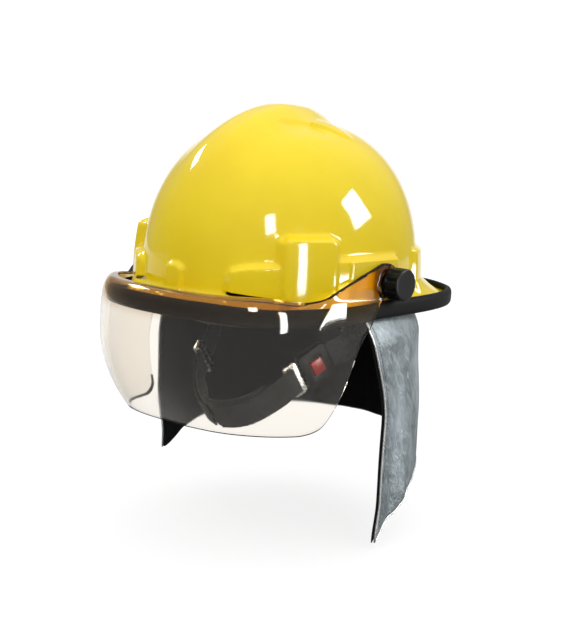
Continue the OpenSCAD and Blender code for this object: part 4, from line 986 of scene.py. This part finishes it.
def plump(piece, voxel, cap):
    """Voxel remesh, cloth under pressure, the move capped, then one subdivision."""
    remesh = piece.modifiers.new("remesh", "REMESH")
    remesh.mode, remesh.voxel_size = "VOXEL", voxel / 1000
    settled(piece)
    before = np.empty(len(piece.data.vertices) * 3)
    piece.data.vertices.foreach_get("co", before)
    cover = piece.modifiers.new("cover", "CLOTH")
    cover.settings.use_pressure = True
    cover.settings.uniform_pressure_force = cover_pressure
    cover.settings.effector_weights.gravity = 0
    cover.settings.tension_stiffness = cover_stretch
    cover.settings.compression_stiffness = cover_stretch
    cover.settings.bending_stiffness = cover_bend
    cover.point_cache.frame_start, cover.point_cache.frame_end = 1, cover_frames
    for step in range(1, cover_frames + 1):
        bpy.context.scene.frame_set(step)
    graph = bpy.context.evaluated_depsgraph_get()
    after = np.empty(len(before))
    piece.evaluated_get(graph).data.vertices.foreach_get("co", after)
    moves = (after - before).reshape(-1, 3)
    moves -= moves.mean(0)
    size = np.linalg.norm(moves, axis=1, keepdims=True)
    moves *= np.minimum(1, cap / 1000 / np.maximum(size, 1e-9))
    piece.modifiers.clear()
    piece.data.vertices.foreach_set("co", before + moves.ravel())
    bpy.context.scene.frame_set(1)
    finer = piece.modifiers.new("finer", "SUBSURF")
    finer.levels = finer.render_levels = 1
    return shaded(settled(piece))


def band_pad(name, centre, half, back):
    sections = []
    for v in np.linspace(-1, 1, 45):
        tall = (band_h / 2 + 0.2) * (1 - abs(v) ** 8 * 0.15)
        thick = (brow_t - 1) * (1 - abs(v) ** 6 * 0.6)
        sections.append([on_band(centre + v * half, back - thick * deep, band_z + tall * high)
                         for deep, high in pad_profile])
    return strip(name, sections)


# Brushed polyester knit over foam: soft black, fuzzy, with a honeycomb of tiny dimples.
knitted_cover, add, place = new_finish("knitted_polyester_cover", "#131314", Roughness=0.9,
                                       Sheen_Weight=0.12, Sheen_Roughness=0.5)
dimples = add("TexVoronoi", Vector=place, Scale=480)
relief = add("Bump", Strength=0.45, Distance=0.0005, Height=dimples)
fuzz = add("TexNoise", Vector=place, Scale=70, Detail=6, Roughness=0.7)
tones = add("Mix", fuzz, "#121213", "#272729", data_type="RGBA")
dress(knitted_cover, Base_Color=tones, Normal=relief)

crown_reach = band_from_middle(128, cradle_out)
crown_turn = np.arange(0, 360, 7.5)
crown_points = []
for a in crown_turn:
    for r, drop in crown_profile:
        t = math.degrees(math.acos(min(1, (r / crown_reach) ** 1.15)))
        strap_z = mix(cradle_foot, cradle_h, sine(t) ** cradle_power)
        crown_points.append(polar(a, r, strap_z - cradle_t / 2 - 1.2 - drop))
n, m = len(crown_turn), len(crown_profile)
pad_faces = [(i * m + j, i * m + j + 1, (i + 1) % n * m + j + 1, (i + 1) % n * m + j)[::-1]
             for i in range(n) for j in range(m - 1)]
pad_faces += [tuple(i * m for i in range(n))[::-1], tuple(i * m + m - 1 for i in range(n))]
for pad, node, voxel, cap in (
        (new_piece("crown_pad_cover", crown_points, pad_faces), "crown_pad", 2.6, 1.2),
        (band_pad("brow_pad_cover", 0, 61, -0.9), "brow_pad", 2.2, 0.6),
        (band_pad("nape_pad_cover", 180, 29.5, -2.9), "nape_pad", 2.2, 0.6)):
    fit(plump(pad, voxel, cap), knitted_cover, "padding", "helmet", node)


# ---- Nape ratchet
# Two nape bands carry racks that a pinion on the knob's shaft drives together. They slide between a
# curved housing and its snap-on cover, all moulded in nylon and polyethylene.
for node, name, bevel, finish, slot, body in (
        ("nape_band_left", "rack_band_left", 0.2, black_polyethylene, "band", "nape_band_left"),
        ("nape_band_right", "rack_band_right", 0.2, black_polyethylene, "band", "nape_band_right"),
        ("ratchet_housing", "ratchet_back", 0.5, black_nylon, "housing", "helmet"),
        ("ratchet_cover", "ratchet_front", 0.8, black_nylon, "housing", "helmet"),
        ("ratchet_knob", "ratchet_handwheel", 0.5, black_nylon, "knob", "ratchet_knob")):
    fit(dressed(node, name, bevel), finish, slot, body, node)


# ---- Chin strap
# 25 mm polyester webbing hangs from a steel plate at each temple, where it goes through the plate's
# eye and is sewn back on itself. The left half ends at the buckle, the right half runs on under the
# chin to the buckle's tongue, over a padded chin cup.
chin_w, chin_t = 25, 2
hang_y, hang_z, hang_tilt, eye_drop = 17, -18, 25, 26.5
plate_x, plate_t, loop_bend = 82.3, 1.6, 2
cup_half, cup_thick, cup_gap = 35, 4.0, 3.7
jaw = [(50, -58, -99), (36, -70, -112), (20, -79, -120), (4, -83, -123)]
under_chin = (0, -83.4, -123.2)
temple, left_cheek = (84, -1, -53), (79.5, -7, -57)
right_cheek = [(78.5, -9, -60), (75, -16, -68), (70.4, -27.6, -78.7), (63.6, -40.4, -89.3)]
buckle_at = np.array([69.0, -31, -71])
buckle_line = [(73, -16, -64), buckle_at, (62, -46, -84)]
# Along and out of the buckle: where the strap enters it, and where it leaves the tongue.
strap_in, strap_held, tongue_held, tongue_out = (-22, 0), (-12, 0), (19.5, 2.9), (29.5, 2.9)


def strap_frame(path, i):
    """The strap's outward normal and its sideways direction at one point of its path."""
    path = np.asarray(path, float)
    along = path[min(i + 1, len(path) - 1)] - path[max(i - 1, 0)]
    along /= np.linalg.norm(along)
    away = path[i] - [0, 5, -60]
    flat = away - along * (away @ along)
    flat /= np.linalg.norm(flat)
    return flat, np.cross(along, flat)


def strap_rows(path, wanted, width, thick, out=0):
    rows = []
    for i in wanted:
        n, s = strap_frame(path, i)
        rows.append((np.asarray(path[i], float) + n * out, s * width / 2, n * thick / 2))
    return rows


buckle_n, buckle_s = strap_frame(buckle_line, 1)
buckle_d = np.cross(buckle_n, buckle_s)


def at_buckle(x, z):
    return buckle_at + buckle_d * x + buckle_n * z


def buckle_row(x, z):
    return at_buckle(x, z), buckle_s * chin_w / 2, buckle_n * chin_t / 2


def lean(v):
    c, s = cosine(hang_tilt), sine(hang_tilt)
    return np.array([v[0], v[1] * c + v[2] * s, -v[1] * s + v[2] * c])


loop_in, loop_out = plate_x - 2.4, plate_x + plate_t + 2.4
bends = [(loop_bend * (1 - cosine(t)), loop_bend * (1 - sine(t))) for t in (30, 60)]
loop_path = [(loop_in + 2, -11.5), (loop_in, -6), (loop_in, -2)]
loop_path += [(loop_in + x, -z) for x, z in bends]
loop_path += [(loop_in + loop_bend, 0), (loop_out - loop_bend, 0)]
loop_path += [(loop_out - x, -z) for x, z in bends[::-1]]
loop_path += [(loop_out, -2), (loop_out - 0.4, -6)]
loop_rows = []
for i, (x, z) in enumerate(loop_path):
    (x0, z0), (x1, z1) = loop_path[max(i - 1, 0)], loop_path[min(i + 1, len(loop_path) - 1)]
    n = np.array([-(z1 - z0), 0, x1 - x0]) / math.hypot(x1 - x0, z1 - z0) * chin_t / 2
    centre = np.array([x, hang_y, hang_z]) + lean((0, 0, z - eye_drop))
    loop_rows.append((centre, lean((0, -chin_w / 2, 0)), lean(n)))
left_upper = loop_rows + strap_rows([temple, left_cheek, at_buckle(*strap_in)], (0, 1),
                                    chin_w, chin_t)
left_upper += [buckle_row(*strap_in), buckle_row(*strap_held)]
left_lower = [buckle_row(*tongue_held), buckle_row(*tongue_out)]
left_lower += strap_rows([at_buckle(*tongue_out)] + jaw, range(1, 5), chin_w, chin_t)
right_path = [temple] + right_cheek + jaw
right_rows = loop_rows + strap_rows(right_path, range(len(right_path)), chin_w, chin_t)
upper, upper_lines = webbing("strap_left_upper", *zip(*left_upper), 4)
lower, _ = webbing("strap_left_lower", *zip(*left_lower), 6)
other, other_lines = webbing("strap_right_run", *zip(*right_rows), 4)
other.data.transform(Matrix.Diagonal((-1, 1, 1, 1)))
other.data.flip_normals()
for strap, node in ((upper, "chin_strap_left"), (lower, "chin_strap_left"),
                    (other, "chin_strap_right")):
    fit(strap, woven_webbing, "webbing", "helmet", node)

cup_path = [at_buckle(*tongue_out)] + jaw + [under_chin]
cup_path += [(-x, y, z) for x, y, z in jaw[::-1] + right_cheek[:2:-1]]
cup_rows = []
for i in range(1, len(cup_path) - 1):
    share = 1 - abs(2 * i / (len(cup_path) - 1) - 1) ** 4 * 0.5
    cup_rows += strap_rows(cup_path, [i], cup_half * share, cup_thick, -chin_t / 2 - cup_gap)
cup, _ = webbing("chin_cup_pad", *zip(*cup_rows), 5)
fit(plump(cup, 2.2, 0.6), knitted_cover, "padding", "helmet", "chin_pad")

# Nickel-plated zinc casting: bright warm silver with soft pits and polished high edges.
cast_zinc, add, place = new_finish("nickel_plated_zinc", "#C9C7C2", Roughness=0.24, Metallic=1.0)
cast = add("TexNoise", Vector=place, Scale=500, Detail=4)
relief = add("Bump", Strength=0.15, Distance=0.0002, Height=cast)
polish = add("MapRange", cast, 0.35, 0.7, 0.16, 0.34)
dress(cast_zinc, Roughness=polish, Normal=relief)

# Moulded acetal dyed signal red, smooth and semi-gloss from finger wear.
red_acetal, add, place = new_finish("moulded_red_acetal", "#B3201A", Roughness=0.3, IOR=1.48)
finger = add("TexNoise", Vector=place, Scale=260, Detail=4)
tones = add("Mix", finger, "#A81B15", "#C22A22", data_type="RGBA")
dress(red_acetal, Base_Color=tones)

for node, name, bevel, finish, slot, body in (
        ("buckle_socket", "buckle_housing", 1.1, black_nylon, "housing", "helmet"),
        ("buckle_tongue", "buckle_tongue_plate", 0.5, cast_zinc, "zinc", "helmet"),
        ("release_button", "buckle_button", 0.6, red_acetal, "button", "release_button"),
        ("strap_slider", "strap_ladder_lock", 0.5, cast_zinc, "zinc", "helmet"),
        ("strap_hangers", "hanger_plates", 0.35, plated_steel, "steel", "helmet")):
    fit(dressed(node, name, bevel), finish, slot, body, node)

rivet_r, rivet_h, rivet_off = 3.6, 1.5, 8
riveted, add, given = new_tree("rivets_at_points", Head_radius="Float", Head_height="Float",
                               Metal="Material")
ball = add("GeometryNodeMeshUVSphere", Segments=24, Rings=12, Radius=1.0)
squat = add("CombineXYZ", given["Head_height"], given["Head_radius"], given["Head_radius"])
head = add("GeometryNodeTransform", Geometry=ball, Scale=squat)
put = add("GeometryNodeInstanceOnPoints", Points=given["Geometry"], Instance=head)
close_tree(riveted, put, given["Metal"])
rivet_spots = [(s * (plate_x + plate_t), hang_y + y, hang_z)
               for s in (-1, 1) for y in (-rivet_off, rivet_off)]
rivets = grown(new_piece("hanger_rivet_heads", rivet_spots, []), riveted,
               Head_radius=rivet_r / 1000, Head_height=rivet_h / 1000, Metal=plated_steel)
fit(rivets, plated_steel, "steel", "helmet", "hanger_rivets")


# ---- Neck curtain
# Aluminised aramid cloth outside and a black lining inside, cut as one shaped skirt, bound along
# its free edges with silver piping and hung from hook tape inside the shell's rim.
hem_line = ([80, 83, 86, 96, 108, 120, 131, 145, 162, 180, 225, 255, 272, 281, 286],
            [-231, -221, -214, -205, -193, -181, -171, -160, -152, -150, -152, -159, -172, -183,
             -187])
curtain_span, lining_span = (80, 286), (78.7, 286.8)
curtain_columns, curtain_rows = 170, 80
curtain_top, curtain_off, flare_out = 2, shell_wall + 4.4, 15.5
# Folds round the skirt: depth, number in a full turn, shift, and the drop over which they grow.
folds_from, fold_waves = 97, ((1.25, 7, 0, 30, 170), (0.75, 13, 40, 60, 200))


def curtain_radius(a, z, out):
    flare = flare_out * rise(-z, 2, 46)
    folds = sum(deep * sine((a - folds_from) * count + shift) * rise(-z, *drop)
                for deep, count, shift, *drop in fold_waves)
    billow = 5.5 * bump(a, 108, 150, 25) * rise(-z, 40, 130)
    billow = billow + 7 * rise(a, 258, 280) * bump(-z, 70, 120, 55)
    hung = mix(dome_plan(a, 0), plan(a, dome_front, 133, dome_side, 2.08), rise(-z, 0, 30))
    return hung - curtain_off + flare + folds + billow + out


def curtain_grid(out, span=curtain_span):
    """Points by angle and by share of the drop, so many millimetres out from the cloth's back."""
    a = np.linspace(*span, curtain_columns + 1)[:, None]
    d = np.linspace(0, 1, curtain_rows + 1)[None, :]
    z = mix(curtain_top, smoothed(a, hem_line, 3), d)
    swept_back = 14.3 * rise(-z, 5, 120) * (1 - rise(a, 80, 118))
    turned = a + swept_back - 1.8 * rise(d, 0.84, 1) * (1 - rise(a, 80, 90))
    creases = 0.35 * sine(a * 31 + z * 1.7) * sine(z * 2.9 - a * 4) * rise(-z, 25, 70)
    return polar(turned, curtain_radius(a, z, out) + creases, z)


def cloth_piece(name, outer, inner):
    """A cloth of real thickness between two grids, with its rim closed."""
    n, m = outer.shape[:2]
    faces = []
    for i in range(n - 1):
        for j in range(m - 1):
            q = (i * m + j, i * m + j + 1, (i + 1) * m + j + 1, (i + 1) * m + j)
            faces += [q, tuple(k + n * m for k in q[::-1])]
    rim = [i * m for i in range(n)] + [(n - 1) * m + j for j in range(1, m)]
    rim += [i * m + m - 1 for i in range(n - 2, -1, -1)] + list(range(m - 2, 0, -1))
    for k, low in enumerate(rim):
        high = rim[(k + 1) % len(rim)]
        faces.append((low, high, high + n * m, low + n * m))
    steps = np.diff(outer[:, m // 2], axis=0, prepend=outer[:1, m // 2])
    lengths = np.cumsum(np.linalg.norm(steps, axis=1))
    across = np.stack(np.broadcast_arrays(lengths[:, None], -outer[..., 2]), -1).reshape(-1, 2)
    return new_piece(name, np.concatenate([outer.reshape(-1, 3), inner.reshape(-1, 3)]), faces,
                     across=np.concatenate([across, across]))


curtain_outside, lining_outside = curtain_grid(1.6), curtain_grid(-0.6, lining_span)
curtain = cloth_piece("curtain_cloth", curtain_outside, curtain_grid(0))
lining = cloth_piece("curtain_lining_cloth", lining_outside, curtain_grid(-1.8, lining_span))


def plain_weave(add, flat_place, pitch):
    """Height of a plain weave with the given thread pitch in metres."""
    per_pitch = 2 * math.pi / pitch
    turns = add("Mapping", Vector=flat_place, Scale=(per_pitch, per_pitch, 1))
    across, along, _ = add("SeparateXYZ", turns).outputs
    warp, weft = [add("Math", way, operation="SINE") for way in (across, along)]
    return add("Math", warp, weft, operation="MULTIPLY")


# Aluminised aramid: a film of aluminium on woven cloth, so a soft metallic grey. The film is
# creased in fine upright streaks, painted paler along them as painted highlights of the creases,
# with a weave that is drawn at 2 mm.
aluminised_cloth, add, place = new_finish("aluminised_aramid_cloth", "#70797D", Roughness=0.5,
                                          Metallic=0.45)
flat_place = add("UVMap", uv_map="cloth")
slanted = add("Mapping", Vector=flat_place, Rotation=(0, 0, 0.45))
drawn = add("Mapping", Vector=slanted, Scale=(130, 46, 1))
streaks = add("TexNoise", Vector=drawn, Scale=1, Detail=5, Roughness=0.65, Distortion=1.6)
clouds = add("TexNoise", Vector=place, Scale=34, Detail=6, Roughness=0.65)
drift = add("MapRange", clouds, 0.36, 0.64)
film = add("Mix", drift, "#525B5F", "#848D91", data_type="RGBA")
# Painted highlights: the film is painted paler along the crease streaks.
crease_highlights = add("MapRange", streaks, 0.5, 0.82)
pale = add("Mix", crease_highlights, film, "#A5ADB0", data_type="RGBA")
sheen = add("MapRange", streaks, 0.3, 0.7, 0.44, 0.64)
weave = add("Bump", Strength=0.12, Distance=0.0003, Height=plain_weave(add, flat_place, 0.002))
relief = add("Bump", Strength=0.5, Distance=0.002, Height=streaks, Normal=weave)
dress(aluminised_cloth, Base_Color=pale, Roughness=sheen, Normal=relief)

# Aramid and viscose lining: plain woven, black, dull and slightly furry.
black_lining, add, _ = new_finish("woven_black_aramid", "#0A0A0B", Roughness=0.95,
                                  Specular_IOR_Level=0.1, Sheen_Weight=0.04, Sheen_Roughness=0.5)
flat_place = add("UVMap", uv_map="cloth")
relief = add("Bump", Strength=0.4, Distance=0.0003, Height=plain_weave(add, flat_place, 0.0016))
lint = add("TexNoise", Vector=flat_place, Scale=120, Detail=5)
tones = add("Mix", lint, "#0D0D0E", "#1E1E20", data_type="RGBA")
dress(black_lining, Base_Color=tones, Normal=relief)
fit(curtain, aluminised_cloth, "aluminised", "helmet", "neck_curtain")
fit(lining, black_lining, "lining", "helmet", "curtain_lining")

# The binding is a strip of the same aluminised cloth rolled round a cord, sewn over the edges.
piping_r, piping_from_row = 0.9, 9
piped, add, given = new_tree("piping_along_path", Radius="Float", Cloth="Material")
spine = add("GeometryNodeMeshToCurve", given["Geometry"])
ring = add("GeometryNodeCurvePrimitiveCircle", Resolution=12, Radius=given["Radius"])
tube = add("GeometryNodeCurveToMesh", spine, ring, Fill_Caps=True)
close_tree(piped, tube, given["Cloth"])

rolled_binding, add, place = new_finish("rolled_aluminised_binding", "#B9B8B6", Roughness=0.4,
                                        Metallic=0.7)
puckers_with_painted_shade = add("TexNoise", Vector=place, Scale=260, Detail=4)
relief = add("Bump", Strength=0.5, Distance=0.0006, Height=puckers_with_painted_shade)
# Painted light and shade: the puckers' crests are painted lighter and their hollows darker.
tones = add("Mix", puckers_with_painted_shade, "#9C9B9C", "#D2D1CE", data_type="RGBA")
dress(rolled_binding, Base_Color=tones, Normal=relief)

edge = curtain_grid(1.5)
left_edge = edge[0, piping_from_row:] + [0, -piping_r, 0]
hem_edge = edge[1:-1, -1] - [0, 0, piping_r]
right_edge = edge[-1, piping_from_row:][::-1] + [0, -piping_r, 0]
for corner in (left_edge[-1], right_edge[0]):
    corner[2] -= piping_r
binding = grown(path_piece("curtain_piping", np.concatenate([left_edge, hem_edge, right_edge])),
                piped, Radius=piping_r / 1000, Cloth=rolled_binding)
fit(binding, rolled_binding, "binding", "helmet", "curtain_binding")

# Woven hook tape: black nylon covered in tiny hooks, which read as a fine dull pile.
hook_tape, add, place = new_finish("woven_hook_tape", "#141414", Roughness=0.8)
hooks = add("TexVoronoi", Vector=place, Scale=900)
relief = add("Bump", Strength=0.8, Distance=0.0006, Height=hooks)
dress(hook_tape, Normal=relief)
tape_turn = np.linspace(*curtain_span, 120)
tape_r = dome_plan(tape_turn, 0) - shell_wall - 1
tape_profile = ((-1.2, 3), (-1.2, 1), (-1.2, -1), (0, -1), (0, 1), (0, 3))
tape = strip("curtain_hook_tape", np.stack([polar(tape_turn, tape_r + out, z)
                                            for out, z in tape_profile], 1))
fit(tape, hook_tape, "lining", "helmet", "curtain_tape")


# ---- Stitching
# Lock stitches of bonded thread, 3 mm long: grey on the silver cloth, black on the webbing and
# pads. One tree lays them along any seam.
cloth_stitch = {"Pitch": 0.0036, "Length": 0.003, "Thickness": 0.0007}
webbing_stitch = {"Pitch": 0.0034, "Length": 0.0028, "Thickness": 0.0006}
stitched, add, given = new_tree("stitches_along_path", Pitch="Float", Length="Float",
                                Thickness="Float", Thread="Material")
seam = add("GeometryNodeMeshToCurve", given["Geometry"])
spaced = add("GeometryNodeResampleCurve", Curve=seam, Length=given["Pitch"], mode="LENGTH")
bead = add("GeometryNodeMeshIcoSphere", Radius=1.0, Subdivisions=1)
long_half, thick_half = [add("Math", given[size], 0.5, operation="MULTIPLY")
                         for size in ("Length", "Thickness")]
stretch = add("CombineXYZ", long_half, thick_half, thick_half)
thread = add("GeometryNodeTransform", Geometry=bead, Scale=stretch)
tangent = add("GeometryNodeInputTangent")
heading = add("FunctionNodeAlignRotationToVector", Vector=tangent, axis="X")
laid = add("GeometryNodeInstanceOnPoints", Points=spaced, Instance=thread, Rotation=heading)
close_tree(stitched, laid, given["Thread"])

# Bonded polyester thread: a tight twist with a small sheen.
threads = []
for name, code, roughness, sheen, dark, light in (
        ("bonded_grey_thread", "#6F6E70", 0.55, 0.2, "#5E5D60", "#838285"),
        ("bonded_black_thread", "#232325", 0.5, 0.1, "#242426", "#414143")):
    thread, add, place = new_finish(name, code, Roughness=roughness, Sheen_Weight=sheen)
    strands = add("TexNoise", Vector=place, Scale=900)
    tones = add("Mix", strands, dark, light, data_type="RGBA")
    dress(thread, Base_Color=tones)
    threads.append(thread)
grey_thread, black_thread = threads


def strap_seam(lines, start, stop, across, proud, flip=False):
    c, s, n = (rows[start:stop] for rows in lines)
    seam = c + s * across + n * proud
    return seam * [-1, 1, 1] if flip else seam


grid = curtain_grid(1.85)
curtain_stitches = grown(path_piece("curtain_stitches", grid[2, 8:-3], grid[-3, 8:-3],
                                    grid[2:-2, -3]), stitched, Thread=grey_thread, **cloth_stitch)
strap_seams = []
for lines, flip in ((upper_lines, False), (other_lines, True)):
    for proud in (1.12, -1.12):
        strap_seams += [strap_seam(lines, 40, 46, u, proud, flip) for u in (-0.8, -0.3, 0.3, 0.8)]
for lines in cradle_lines:
    for start, stop in ((0, 7), (-8, -1)):
        strap_seams += [strap_seam(lines, start, stop, u, -1.15) for u in (-0.8, 0.8)]
webbing_stitches = grown(path_piece("webbing_stitches", *strap_seams), stitched,
                         Thread=black_thread, **webbing_stitch)
fit(curtain_stitches, grey_thread, "binding", "helmet")
fit(webbing_stitches, black_thread, "webbing", "helmet")
